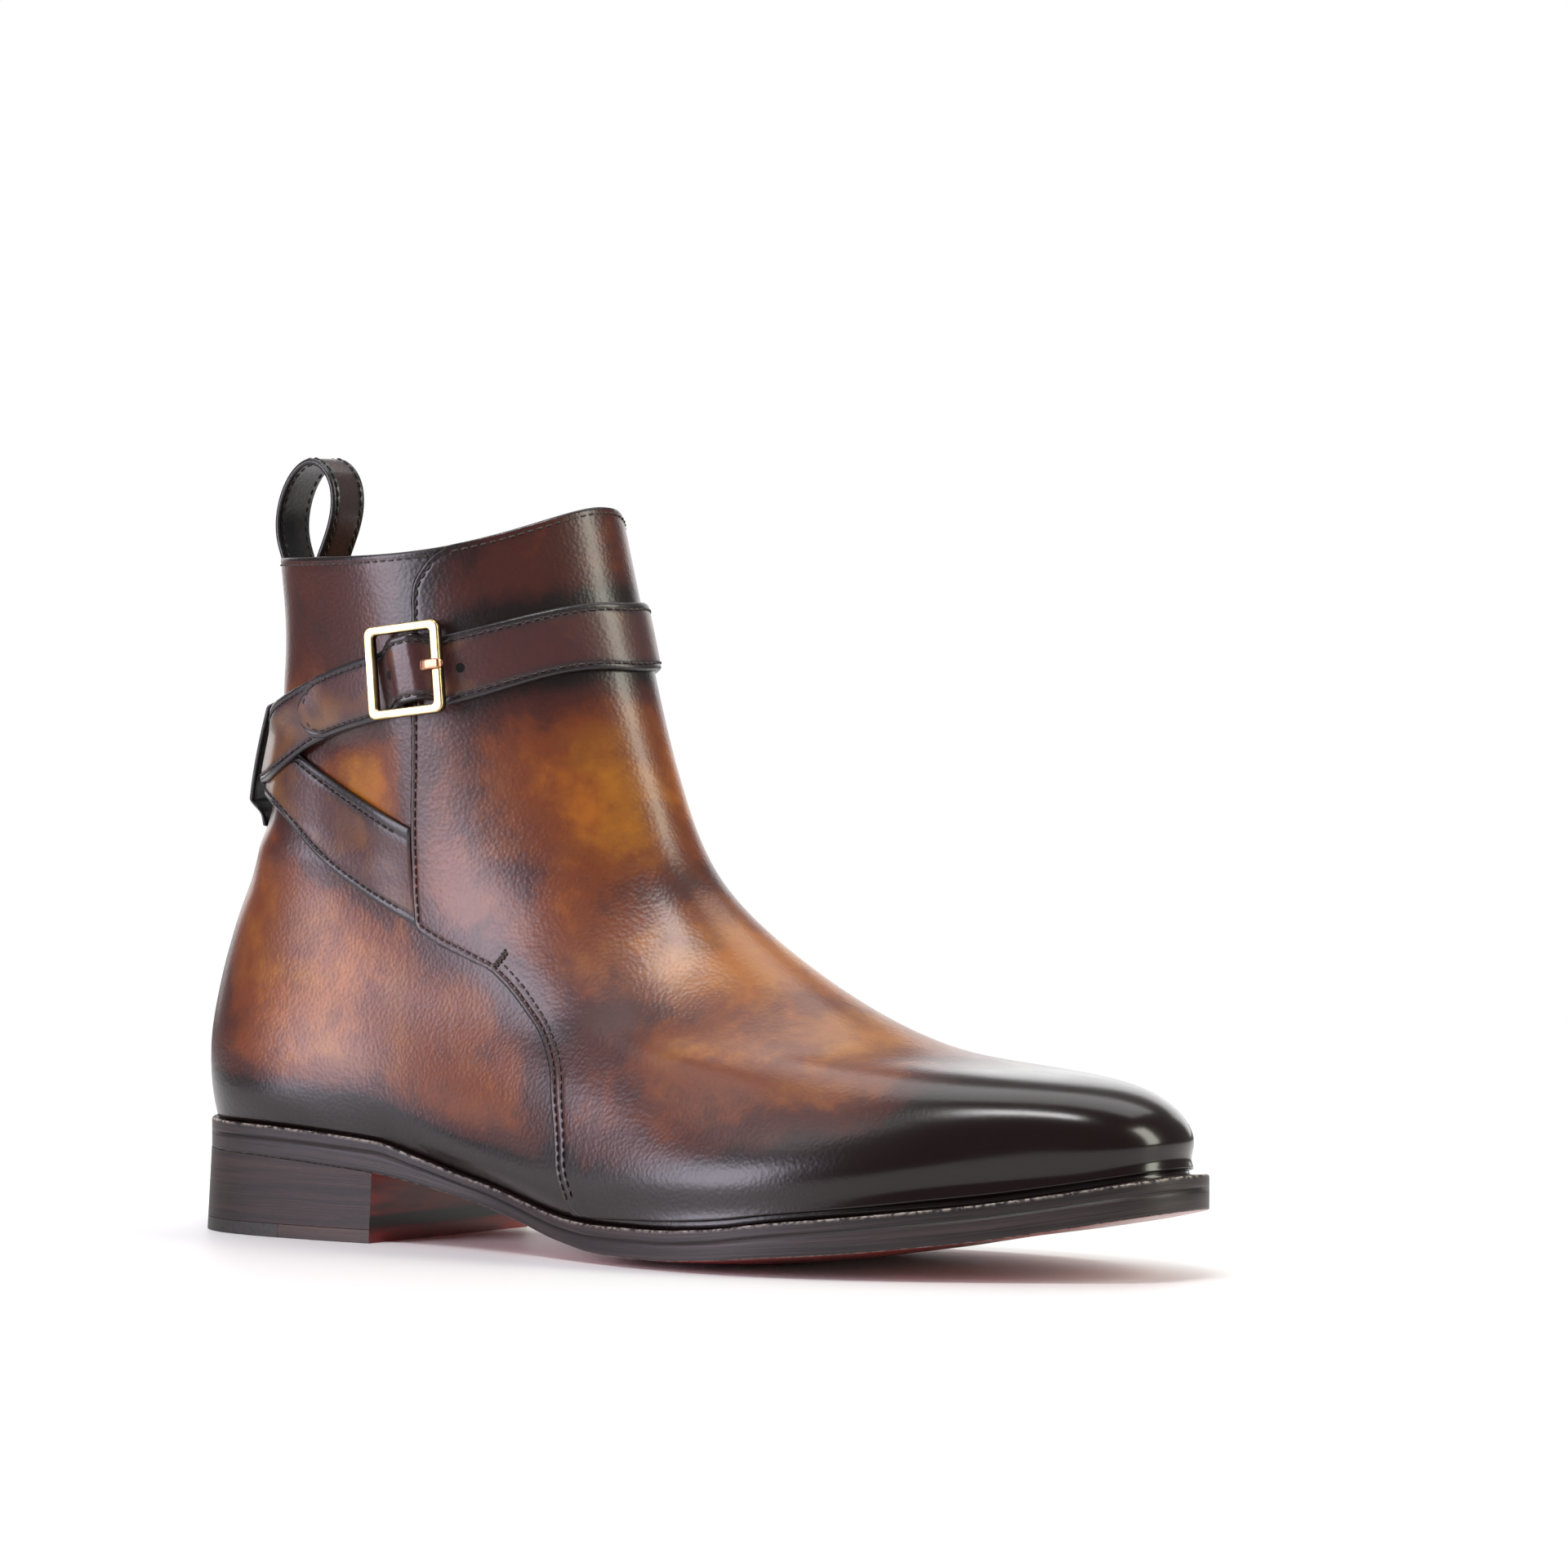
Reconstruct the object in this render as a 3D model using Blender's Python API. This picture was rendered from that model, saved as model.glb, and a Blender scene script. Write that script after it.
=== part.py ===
"""Jodhpur boot, right foot, as separate named solids.

Built in millimetres from the back of the sole on the floor and turned to metres at the
end: +X to the toe, +Y to the inner side, +Z up. The tables hold shares of the named sizes.
"""
import bpy
import bmesh
import numpy as np

MM = 0.001
SOLE_LENGTH = 302.0
BALL_WIDTH = 99.0
BOOT_HEIGHT = 191.8
HEEL_HEIGHT = 22.2
EDGE_THICKNESS = 8.6
HEEL_RADIUS = 33.0
TOE_RADIUS = 27.0
HEEL_BREAST = 73.0
HEEL_FLARE = 1.2
TOP_LIFT = 3.6
TOP_LIFT_JOINT = 42.0
GAP = 0.3
CROSS_GAP = 0.5
UPPER_WALL = 2.0
PANEL_THICK = 0.9
PANEL_GAP = 0.5
STAY_THICK = 1.0
STAY_WIDTH = 13.5
KEEPER_WIDTH = 15.0
KEEPER_THICK = 1.4
KEEPER_RISE = 6.5
STRAP_THICK = 1.8
STRAP_TIP = 8.5
STRAP_HUMP = 4.6
WELT_THICK = 3.0
WAIST_THINNING = 1.0
WELT_SHOW = 4.5
WELT_REACH = 3.4
INSOLE_RISE = 1.6
INSOLE_GAP = 0.6
BUCKLE_WIDTH = 23.8
BUCKLE_HEIGHT = 23.6
BUCKLE_DEPTH = 2.5
BUCKLE_SIDE = 3.3
BUCKLE_END = 2.0
BUCKLE_CORNER = 2.2
BUCKLE_BEVEL = 0.35
BUCKLE_LIFT = 4.45
BUCKLE_RISE = 2.2
BAR_THICK = 1.6
BAR_LIFT = 3.3
PRONG_WIDTH = 2.8
PRONG_THICK = 1.3
COLLAR_DIP = 3.5
LOOP_WIDTH = 13.0
LOOP_THICK = 1.7
ORIGIN_X = 22.0
BUCKLE_ANGLE = 100.0
BUCKLE_TURN = -6.0
BUCKLE_LEAN = 6.0
TIP_ANGLE = 56.2
COLUMNS = 64

# sole outline: station as a share of SOLE_LENGTH, outer and inner side as shares of BALL_WIDTH
OUTLINE = [
    (0.0331, 0.2444, 0.2384), (0.1192, 0.3364, 0.3293), (0.1987, 0.3424, 0.3253), (0.298, 0.3263, 0.2768),
    (0.3709, 0.3374, 0.2525), (0.4305, 0.3838, 0.2727), (0.5298, 0.4727, 0.3515), (0.6291, 0.5202, 0.4364),
    (0.7119, 0.503, 0.4788), (0.7947, 0.4303, 0.4707), (0.8675, 0.3313, 0.4222), (0.9272, 0.2253, 0.3455),
    (0.9702, 0.1333, 0.2687),
]
# sole edge: station, then lower height and fall to the middle as shares of HEEL_HEIGHT
# (second and fourth column) and thickness as a share of EDGE_THICKNESS (third column)
EDGE = [
    (0.0, 1.0, 0.8837, 0.0), (0.1192, 0.9459, 0.9302, 0.0), (0.1987, 0.8784, 0.9535, 0.0),
    (0.2417, 0.8243, 0.9535, 0.0), (0.2881, 0.7252, 0.7907, 0.0405), (0.3477, 0.5676, 0.6512, 0.0721),
    (0.4139, 0.3739, 0.6512, 0.0991), (0.4702, 0.2072, 0.7093, 0.1126), (0.5298, 0.1126, 0.8372, 0.1261),
    (0.5894, 0.1081, 0.8721, 0.1306), (0.6457, 0.1486, 0.8837, 0.1532), (0.7053, 0.2162, 0.9767, 0.1396),
    (0.7649, 0.2838, 1.0233, 0.1396), (0.8212, 0.3694, 1.0349, 0.1351), (0.8742, 0.464, 1.0233, 0.1261),
    (0.9205, 0.5721, 1.0116, 0.1171), (0.9636, 0.6847, 1.0, 0.1081), (1.0, 0.7793, 1.0, 0.0991),
]
# middle line from above: station, shift to the inner side as a share of BALL_WIDTH
MIDDLE = [
    (0.0, 0.0), (0.1987, 0.002), (0.3311, 0.0152), (0.4636, 0.0323), (0.596, 0.0525),
    (0.7285, 0.0687), (0.8609, 0.0727), (1.0, 0.0667),
]
# welt beyond the upper: angle round the boot, share of WELT_SHOW
INSET = [
    (0.0, 0.3556), (60.0, 0.3778), (85.0, 0.4222), (105.0, 0.7111), (120.0, 0.9778),
    (150.0, 1.0), (180.0, 1.0),
]
# rings of the upper, from just above the welt to the collar: level; back x, back z, front x and
# front z as shares of SOLE_LENGTH and BOOT_HEIGHT; how much the ring follows the sole; rise power;
# back and front radius, outer half widths and inner half widths as shares of BALL_WIDTH
RINGS = [
    (0.03, -0.0007, 0.1825, 0.9795, 0.1575, 1.0, 1.0, 0.303, 0.242,
     (0.301, 0.3313, 0.4374, 0.4424, 0.1848), (0.296, 0.301, 0.3182, 0.4434, 0.3263)),
    (0.085, -0.0046, 0.2294, 0.9811, 0.1825, 0.92, 1.0, 0.298, 0.253,
     (0.301, 0.3394, 0.4465, 0.4444, 0.1899), (0.297, 0.3111, 0.3485, 0.4505, 0.3293)),
    (0.14, -0.0046, 0.2711, 0.9682, 0.2164, 0.8, 1.0, 0.288, 0.242,
     (0.2949, 0.3364, 0.4323, 0.4141, 0.198), (0.2909, 0.3131, 0.3657, 0.4343, 0.3293)),
    (0.2, -0.001, 0.3128, 0.9321, 0.2492, 0.62, 1.0, 0.278, 0.222,
     (0.2808, 0.3263, 0.404, 0.3586, 0.1859), (0.2788, 0.3111, 0.3677, 0.402, 0.3111)),
    (0.27, 0.006, 0.365, 0.8642, 0.268, 0.42, 1.0, 0.263, 0.192,
     (0.2596, 0.3131, 0.3596, 0.3212, 0.1434), (0.2586, 0.301, 0.3394, 0.3596, 0.2747)),
    (0.345, 0.0159, 0.4119, 0.7715, 0.2805, 0.25, 1.0, 0.258, 0.172,
     (0.2455, 0.299, 0.3313, 0.2929, 0.1374), (0.2465, 0.2929, 0.3152, 0.3192, 0.2485)),
    (0.43, 0.0278, 0.4614, 0.6666, 0.3316, 0.12, 1.0, 0.253, 0.167,
     (0.2303, 0.2859, 0.3111, 0.2626, 0.1212), (0.2323, 0.2828, 0.301, 0.2788, 0.2071)),
    (0.52, 0.0407, 0.5109, 0.5709, 0.4129, 0.04, 1.0, 0.253, 0.157,
     (0.2222, 0.2788, 0.2949, 0.2444, 0.1152), (0.2242, 0.2788, 0.2909, 0.2505, 0.1818)),
    (0.61, 0.0526, 0.5735, 0.5079, 0.4979, 0.0, 1.0, 0.253, 0.152,
     (0.2202, 0.2828, 0.299, 0.2404, 0.1192), (0.2222, 0.2859, 0.297, 0.2424, 0.1677)),
    (0.71, 0.0656, 0.6569, 0.4715, 0.61, 0.0, 1.0, 0.258, 0.157,
     (0.2121, 0.2909, 0.3152, 0.2505, 0.1232), (0.2141, 0.2949, 0.3152, 0.2505, 0.1636)),
    (0.8, 0.0775, 0.7404, 0.4497, 0.7091, 0.0, 1.2, 0.263, 0.172,
     (0.202, 0.296, 0.3313, 0.2667, 0.1293), (0.204, 0.298, 0.3313, 0.2667, 0.1697)),
    (0.9, 0.0808, 0.8342, 0.4258, 0.8446, 0.0, 2.0, 0.263, 0.192,
     (0.1919, 0.299, 0.3434, 0.2848, 0.1394), (0.1939, 0.301, 0.3434, 0.2848, 0.1758)),
    (1.0, 0.0735, 0.9322, 0.4013, 1.0, 0.0, 5.0, 0.263, 0.212,
     (0.1848, 0.303, 0.3556, 0.299, 0.1495), (0.1869, 0.303, 0.3556, 0.299, 0.1798)),
]
# levels at which the upper and the front panel are both cut into faces
ROWS = np.array([0.0, 0.02, 0.05, 0.085, 0.12, 0.155, 0.195, 0.235, 0.28, 0.33, 0.38, 0.413, 0.445,
                 0.48, 0.52, 0.57, 0.63, 0.70, 0.77, 0.84, 0.90, 0.95, 0.98, 1.0])
STATIONS = np.radians([0, 30, 60, 90, 120, 150, 180])
# front panel's rear edge: level, angle from the back on the outer side, on the inner side
SEAM = [
    (0.0, 89.2, 88.0), (0.034, 89.2, 88.0), (0.094, 88.2, 87.6), (0.17, 88.6, 88.0),
    (0.224, 89.6, 89.0), (0.265, 90.4, 90.0), (0.323, 92.1, 91.6), (0.383, 93.3, 92.8),
    (0.413, 92.6, 92.2), (0.427, 89.2, 89.2), (0.445, 84.0, 85.0), (0.465, 81.2, 83.0),
    (0.50, 83.0, 84.0), (0.597, 88.8, 88.8), (0.713, 93.8, 93.8), (0.82, 97.5, 96.5),
    (0.908, 102.0, 99.0), (0.952, 105.0, 100.0), (0.97, 108.3, 100.5), (0.99, 114.0, 101.0),
    (1.0, 120.5, 101.4)]
# low part of a strap, from its seam to the back: upper edge angle and level, lower ones
STRAP_LOW = [
    (88.6, 0.645, 80.0, 0.474), (78.4, 0.667, 71.4, 0.511), (66.4, 0.689, 63.1, 0.549),
    (51.9, 0.719, 52.7, 0.597), (40.0, 0.737, 43.0, 0.630), (20.0, 0.749, 21.0, 0.646)]
# high part of a strap, from the back to the front: angle, upper edge, lower edge
STRAP_HIGH = [
    (0, 0.756, 0.651), (20, 0.774, 0.668), (42, 0.800, 0.699), (56.4, 0.824, 0.737),
    (71.4, 0.847, 0.763), (86, 0.864, 0.783), (100, 0.878, 0.800), (113, 0.890, 0.814),
    (130, 0.903, 0.834), (148, 0.913, 0.849), (167, 0.916, 0.852), (180, 0.915, 0.851)]
# pull loop from the side: shares of SOLE_LENGTH and of BOOT_HEIGHT
LOOP = [
    (0.0715, 0.8629), (0.0692, 0.8968), (0.0649, 0.9307), (0.0589, 0.9593), (0.0576, 0.9854),
    (0.0613, 1.0141), (0.0692, 1.0396), (0.0811, 1.0594), (0.0957, 1.0678), (0.1096, 1.0584),
    (0.1192, 1.0365), (0.1215, 1.0115), (0.1179, 0.9802), (0.1099, 0.9499), (0.102, 0.9218),
    (0.0967, 0.8942), (0.095, 0.8629),
]
# keeper at the back: level, share of KEEPER_RISE
KEEPER = [
    (0.588, 0.277), (0.606, 0.431), (0.627, 0.938), (0.7, 1.0), (0.773, 0.938), (0.794, 0.431), (0.812, 0.277),
]


def spline(knots, values, at, clamped=False):
    """Cubic spline through the values: flat ends when clamped, straight ends otherwise."""
    k = np.asarray(knots, float)
    y = np.asarray(values, float)
    shape = y.shape[1:]
    y = y.reshape(len(k), -1)
    h = np.diff(k)
    n = len(k)
    a = np.zeros((n, n))
    b = np.zeros((n, y.shape[1]))
    slope = np.diff(y, axis=0) / h[:, None]
    for i in range(1, n - 1):
        a[i, i - 1] = h[i - 1]
        a[i, i] = 2.0 * (h[i - 1] + h[i])
        a[i, i + 1] = h[i]
        b[i] = 6.0 * (slope[i] - slope[i - 1])
    if clamped:
        a[0, 0] = 2.0 * h[0]
        a[0, 1] = h[0]
        b[0] = 6.0 * slope[0]
        a[-1, -1] = 2.0 * h[-1]
        a[-1, -2] = h[-1]
        b[-1] = -6.0 * slope[-1]
    else:
        a[0, 0] = 1.0
        a[-1, -1] = 1.0
    m = np.linalg.solve(a, b)
    t = np.atleast_1d(np.asarray(at, float))
    i = np.clip(np.searchsorted(k, t) - 1, 0, n - 2)
    d0 = (t - k[i])[:, None]
    d1 = (k[i + 1] - t)[:, None]
    hi = h[i][:, None]
    out = (m[i] * d1 ** 3 + m[i + 1] * d0 ** 3) / (6.0 * hi)
    out += (y[i] / hi - m[i] * hi / 6.0) * d1 + (y[i + 1] / hi - m[i + 1] * hi / 6.0) * d0
    return out.reshape((len(t),) + shape)


def easy(rows, column, at):
    """Smooth curve through one column of a table without overshoot."""
    k = np.array([r[0] for r in rows], float)
    y = np.array([r[column] for r in rows], float)
    h = np.diff(k)
    s = np.diff(y) / h
    m = np.zeros(len(k))
    same = s[:-1] * s[1:] > 0
    w1 = 2 * h[1:] + h[:-1]
    w2 = h[1:] + 2 * h[:-1]
    safe = np.where(same, w1 / np.where(same, s[:-1], 1) + w2 / np.where(same, s[1:], 1), 1)
    m[1:-1] = np.where(same, (w1 + w2) / safe, 0)
    m[0] = s[0]
    m[-1] = s[-1]
    t = np.clip(np.asarray(at, float), k[0], k[-1])
    i = np.clip(np.searchsorted(k, t) - 1, 0, len(k) - 2)
    u = (t - k[i]) / h[i]
    return (y[i] * (1 + 2 * u) * (1 - u) ** 2 + m[i] * h[i] * u * (1 - u) ** 2
            + y[i + 1] * u * u * (3 - 2 * u) + m[i + 1] * h[i] * u * u * (u - 1))


def smooth(x, a, b):
    """Goes from 0 at a to 1 at b."""
    u = np.clip((np.asarray(x, float) - a) / (b - a), 0, 1)
    return u * u * (3 - 2 * u)


def middle(x):
    """Shift of the boot's middle line to the inner side."""
    share = np.clip(np.asarray(x, float) / SOLE_LENGTH, 0, 1)
    shift = spline([r[0] for r in MIDDLE], [r[1] for r in MIDDLE], share.ravel(), True)
    return BALL_WIDTH * shift.reshape(share.shape)


def outline(theta):
    """Sole outline: theta 0 at the back, pi at the toe, outer side first."""
    half = SOLE_LENGTH / 2.0
    t = np.asarray(theta, float) % (2 * np.pi)
    outer = t <= np.pi
    a = np.where(outer, t, 2 * np.pi - t)
    x = half * (1 - np.cos(a))
    st = np.array([r[0] for r in OUTLINE])
    ang = np.arccos(1 - 2 * st)
    mid = middle(st * SOLE_LENGTH)
    knots = np.concatenate([[0], ang, [np.pi]])
    widths = []
    for column, sign in ((1, 1.0), (2, -1.0)):
        side = np.array([r[column] for r in OUTLINE]) * BALL_WIDTH
        w = (side + sign * mid) / np.sin(ang)
        w = np.concatenate([[np.sqrt(HEEL_RADIUS * half)], w, [np.sqrt(TOE_RADIUS * half)]])
        widths.append(spline(knots, w, a, True))
    y = middle(x) + np.where(outer, -widths[0], widths[1]) * np.sin(a)
    return x, y


def inward(theta, distance):
    """Sole outline moved inward by a distance that may change with theta."""
    step = 1e-3
    x, y = outline(theta)
    x1, y1 = outline(np.asarray(theta) + step)
    x0, y0 = outline(np.asarray(theta) - step)
    dx = x1 - x0
    dy = y1 - y0
    n = np.hypot(dx, dy)
    return x - dy / n * distance, y + dx / n * distance


def inset(theta):
    """Width of the welt beyond the upper."""
    t = np.asarray(theta, float) % (2 * np.pi)
    a = np.degrees(np.where(t <= np.pi, t, 2 * np.pi - t))
    return WELT_SHOW * easy(INSET, 1, a)


def edge_low(x):
    """Height of the sole's lower edge."""
    return HEEL_HEIGHT * easy(EDGE, 1, np.asarray(x) / SOLE_LENGTH)


def edge_top(x):
    """Height of the sole's upper edge."""
    return edge_low(x) + EDGE_THICKNESS * easy(EDGE, 2, np.asarray(x) / SOLE_LENGTH)


def fall(x):
    """How much lower the middle of the sole's underside is than its edge."""
    return HEEL_HEIGHT * easy(EDGE, 3, np.asarray(x) / SOLE_LENGTH)


def welt_thick(x):
    """Welt thickness, thinner at the waist."""
    waist = (np.asarray(x) / SOLE_LENGTH - 0.381) / 0.1325
    return WELT_THICK - WAIST_THINNING * np.exp(-waist ** 2)


def feather_z(x):
    """Height where the upper leaves the welt."""
    return edge_top(x) + GAP


def control_loops(theta):
    """The upper's rings as points, one loop per level."""
    t = np.asarray(theta, float) % (2 * np.pi)
    outer = t <= np.pi
    a = np.where(outer, t, 2 * np.pi - t)
    s = (1 - np.cos(a)) / 2.0
    fx, fy = inward(t, inset(t))
    loops = [np.stack([fx, fy, feather_z(fx)], -1)]
    z_back = float(feather_z(0.0))
    z_front = float(feather_z(SOLE_LENGTH))
    for level, bx, bz, tx, tz, follow, power, rb, rf, outs, ins in RINGS:
        half = (tx - bx) * SOLE_LENGTH / 2.0
        x = bx * SOLE_LENGTH + 2 * half * s
        widths = []
        for row, sign in ((outs, 1.0), (ins, -1.0)):
            inner = STATIONS[1:-1]
            xs = bx * SOLE_LENGTH + half * (1 - np.cos(inner))
            w = (np.array(row) * BALL_WIDTH + sign * middle(xs)) / np.sin(inner)
            ends = np.sqrt(np.array([rb, rf]) * BALL_WIDTH * half)
            w = np.concatenate([ends[:1], w, ends[1:]])
            widths.append(spline(STATIONS, w, a, True))
        y = middle(x) + np.where(outer, -widths[0], widths[1]) * np.sin(a)
        sx = np.clip(x / SOLE_LENGTH, 0, 1)
        dip = feather_z(x) - (z_back + (z_front - z_back) * sx)
        z = (bz + (tz - bz) * s ** power) * BOOT_HEIGHT + follow * dip
        z = z - np.where(outer, 0.0, COLLAR_DIP * level ** 6 * np.sin(a) ** 2)
        loops.append(np.stack([x, y, z], -1))
    return np.array(loops)


LEVELS = np.array([0.0] + [r[0] for r in RINGS])


def surface(theta, level):
    """Outer face of the upper at matching arrays of angle and level."""
    t, v = np.broadcast_arrays(np.asarray(theta, float), np.asarray(level, float))
    shape = t.shape
    t = t.ravel()
    v = v.ravel()
    loops = control_loops(t)
    k = LEVELS
    h = np.diff(k)
    n = len(k)
    a = np.zeros((n, n))
    a[0, 0] = 1.0
    a[-1, -1] = 1.0
    y = loops.reshape(n, -1)
    b = np.zeros_like(y)
    slope = np.diff(y, axis=0) / h[:, None]
    for i in range(1, n - 1):
        a[i, i - 1] = h[i - 1]
        a[i, i] = 2.0 * (h[i - 1] + h[i])
        a[i, i + 1] = h[i]
        b[i] = 6.0 * (slope[i] - slope[i - 1])
    m = np.linalg.solve(a, b).reshape(n, -1, 3)
    i = np.clip(np.searchsorted(k, v) - 1, 0, n - 2)
    j = np.arange(len(t))
    d0 = (v - k[i])[:, None]
    d1 = (k[i + 1] - v)[:, None]
    hi = h[i][:, None]
    p = (m[i, j] * d1 ** 3 + m[i + 1, j] * d0 ** 3) / (6 * hi)
    p += (loops[i, j] / hi - m[i, j] * hi / 6) * d1
    p += (loops[i + 1, j] / hi - m[i + 1, j] * hi / 6) * d0
    return p.reshape(shape + (3,))


def normal(theta, level):
    """Outward unit normal of the upper's outer face."""
    e = 1e-3
    t, v = np.broadcast_arrays(np.asarray(theta, float), np.asarray(level, float))
    du = surface(t + e, v) - surface(t - e, v)
    dv = surface(t, np.minimum(v + e, 1)) - surface(t, np.maximum(v - e, 0))
    n = np.cross(du, dv)
    return n / np.linalg.norm(n, axis=-1)[..., None]


def offset(theta, level, distance):
    """Point at a distance outside the upper's outer face."""
    return surface(theta, level) + normal(theta, level) * np.asarray(distance)[..., None]


def back_reach(level):
    """Length along the surface per radian at the back."""
    step = 0.01
    far = surface(np.full(level.shape, step), level)
    near = surface(np.full(level.shape, -step), level)
    return np.linalg.norm(far - near, axis=-1) / (2 * step)


collection = bpy.data.collections.new("jodhpur_boot")
for old in list(bpy.data.objects):
    bpy.data.objects.remove(old, do_unlink=True)
bpy.context.scene.collection.children.link(collection)


def material(name, colour, roughness, metallic=0.0):
    """Principled material with one colour."""
    m = bpy.data.materials.get(name)
    if m is None:
        m = bpy.data.materials.new(name)
        m.use_nodes = True
        shader = m.node_tree.nodes["Principled BSDF"]
        shader.inputs["Base Color"].default_value = (*colour, 1.0)
        shader.inputs["Roughness"].default_value = roughness
        shader.inputs["Metallic"].default_value = metallic
    return m


def solid(name, points, faces, mat):
    """One closed body from points in millimetres, moved to the boot's origin."""
    p = np.asarray(points, float).copy()
    p[:, 0] -= ORIGIN_X
    mesh = bpy.data.meshes.new(name)
    mesh.from_pydata((p * MM).tolist(), [], faces)
    bm = bmesh.new()
    bm.from_mesh(mesh)
    bmesh.ops.remove_doubles(bm, verts=bm.verts, dist=1e-6)
    bmesh.ops.recalc_face_normals(bm, faces=bm.faces)
    if bm.calc_volume(signed=True) < 0:
        bmesh.ops.reverse_faces(bm, faces=bm.faces)
    bm.to_mesh(mesh)
    bm.free()
    mesh.shade_smooth()
    ob = bpy.data.objects.new(name, mesh)
    mesh.materials.append(mat)
    collection.objects.link(ob)


def between(name, outer, inner, mat, ring=False):
    """Solid between two matching grids of points; ring joins the first index round."""
    rows, cols = outer.shape[:2]
    count = rows * cols
    pts = np.concatenate([outer.reshape(-1, 3), inner.reshape(-1, 3)])
    faces = []
    last = rows if ring else rows - 1
    for i in range(last):
        k = (i + 1) % rows
        for j in range(cols - 1):
            a, b, c, d = i * cols + j, k * cols + j, k * cols + j + 1, i * cols + j + 1
            faces.append((a, b, c, d))
            faces.append((a + count, d + count, c + count, b + count))
        for j in (0, cols - 1):
            a, b = i * cols + j, k * cols + j
            faces.append((a, b, b + count, a + count))
    if not ring:
        for i in (0, rows - 1):
            for j in range(cols - 1):
                a = i * cols + j
                faces.append((a, a + 1, a + 1 + count, a + count))
    solid(name, pts, faces, mat)


def plate(name, outer, inner, low, top, mat, across):
    """Plate between two edges given station by station; low and top give heights."""
    f = np.linspace(0, 1, across + 1)
    x = outer[:, 0][:, None] * (1 - f) + inner[:, 0][:, None] * f
    y = outer[:, 1][:, None] * (1 - f) + inner[:, 1][:, None] * f
    share = np.abs(2 * f - 1)[None, :] * np.ones_like(x)
    wide = np.hypot(*(inner - outer).T)[:, None] * np.ones_like(x)
    lower = np.stack([x, y, low(x, share, wide)], -1)
    upper = np.stack([x, y, top(x, share, wide)], -1)
    between(name, upper, lower, mat)


def edges(start, stop, count, distance):
    """Outer and inner edge points of the sole from one station to another."""
    half = SOLE_LENGTH / 2.0
    a0 = np.arccos(1 - start / half)
    a1 = np.arccos(np.clip(1 - stop / half, -1, 1))
    a = np.linspace(a0, a1, count)
    d = distance(a)
    ox, oy = inward(a, d)
    ix, iy = inward(2 * np.pi - a, d)
    outer = np.stack([ox, oy], -1)
    inner = np.stack([ix, iy], -1)
    if start == 0:
        inner[0] = outer[0] = (inner[0] + outer[0]) / 2
    if stop >= SOLE_LENGTH:
        inner[-1] = outer[-1] = (inner[-1] + outer[-1]) / 2
    return outer, inner


CALF = material("upper_leather", (0.36, 0.16, 0.06), 0.35)
STRAP_CALF = material("strap_leather", (0.12, 0.05, 0.04), 0.35)
SOLE_HIDE = material("sole_leather", (0.35, 0.05, 0.03), 0.5)
WELT_HIDE = material("welt_leather", (0.05, 0.03, 0.025), 0.5)
STACK = material("heel_leather", (0.07, 0.04, 0.03), 0.5)
TOP_PIECE = material("top_lift_leather", (0.16, 0.09, 0.06), 0.5)
RUBBER = material("heel_rubber", (0.03, 0.028, 0.027), 0.7)
INSOLE_HIDE = material("insole_leather", (0.45, 0.28, 0.15), 0.6)
BRASS = material("buckle_brass", (0.55, 0.45, 0.25), 0.3, 1.0)


def build_sole():
    """Outsole, welt and insole."""
    def underside(x, share, wide):
        drop = fall(x) * np.clip(wide / (0.6 * BALL_WIDTH), 0, 1)
        lift = np.clip((share - 0.3) / 0.7, 0, 1) ** 1.6
        return np.maximum(edge_low(x) - drop * (1 - lift), 0.0)

    def under_welt(x, share, wide):
        return edge_top(x) - welt_thick(x)

    outer, inner = edges(0, SOLE_LENGTH, 39, lambda a: 0 * a)
    plate("outsole", outer, inner, underside, lambda x, s, w: under_welt(x, s, w) - GAP, SOLE_HIDE, 8)

    t = np.linspace(0, 2 * np.pi, 88, endpoint=False)
    ox, oy = outline(t)
    ix, iy = inward(t, inset(t) + WELT_REACH)
    upper = np.stack([np.stack([ox, oy, edge_top(ox)], -1), np.stack([ix, iy, edge_top(ix)], -1)], 1)
    lower = upper.copy()
    lower[..., 2] -= welt_thick(upper[..., 0])
    between("welt", upper, lower, WELT_HIDE, ring=True)

    outer, inner = edges(0, SOLE_LENGTH, 31, lambda a: inset(a) + WELT_REACH + INSOLE_GAP)
    plate("insole", outer, inner, under_welt, lambda x, s, w: edge_top(x) + INSOLE_RISE, INSOLE_HIDE, 4)


def heel_block(name, x0, x1, z0, z1, count, mat):
    """Heel layer from station x0 to x1; with no top height given it reaches the sole."""
    def flare(z):
        return lambda a: 0 * a - HEEL_FLARE * (1 - z / HEEL_HEIGHT)
    high = z1 if z1 is not None else 0.95 * HEEL_HEIGHT
    corners = []
    for z in (z0, high):
        pair = edges(x0, x1, count, flare(z))
        for e in pair:
            if x0 > 0:
                e[0, 0] = x0
            e[-1, 0] = x1
        f = np.linspace(0, 1, 5)[None, :, None]
        corners.append(pair[0][:, None, :] * (1 - f) + pair[1][:, None, :] * f)
    low, top = corners
    zl = np.full(low.shape[:2], z0)
    zt = edge_low(top[..., 0]) - GAP if z1 is None else np.full(top.shape[:2], z1)
    between(name, np.concatenate([top, zt[..., None]], -1), np.concatenate([low, zl[..., None]], -1), mat)


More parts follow.
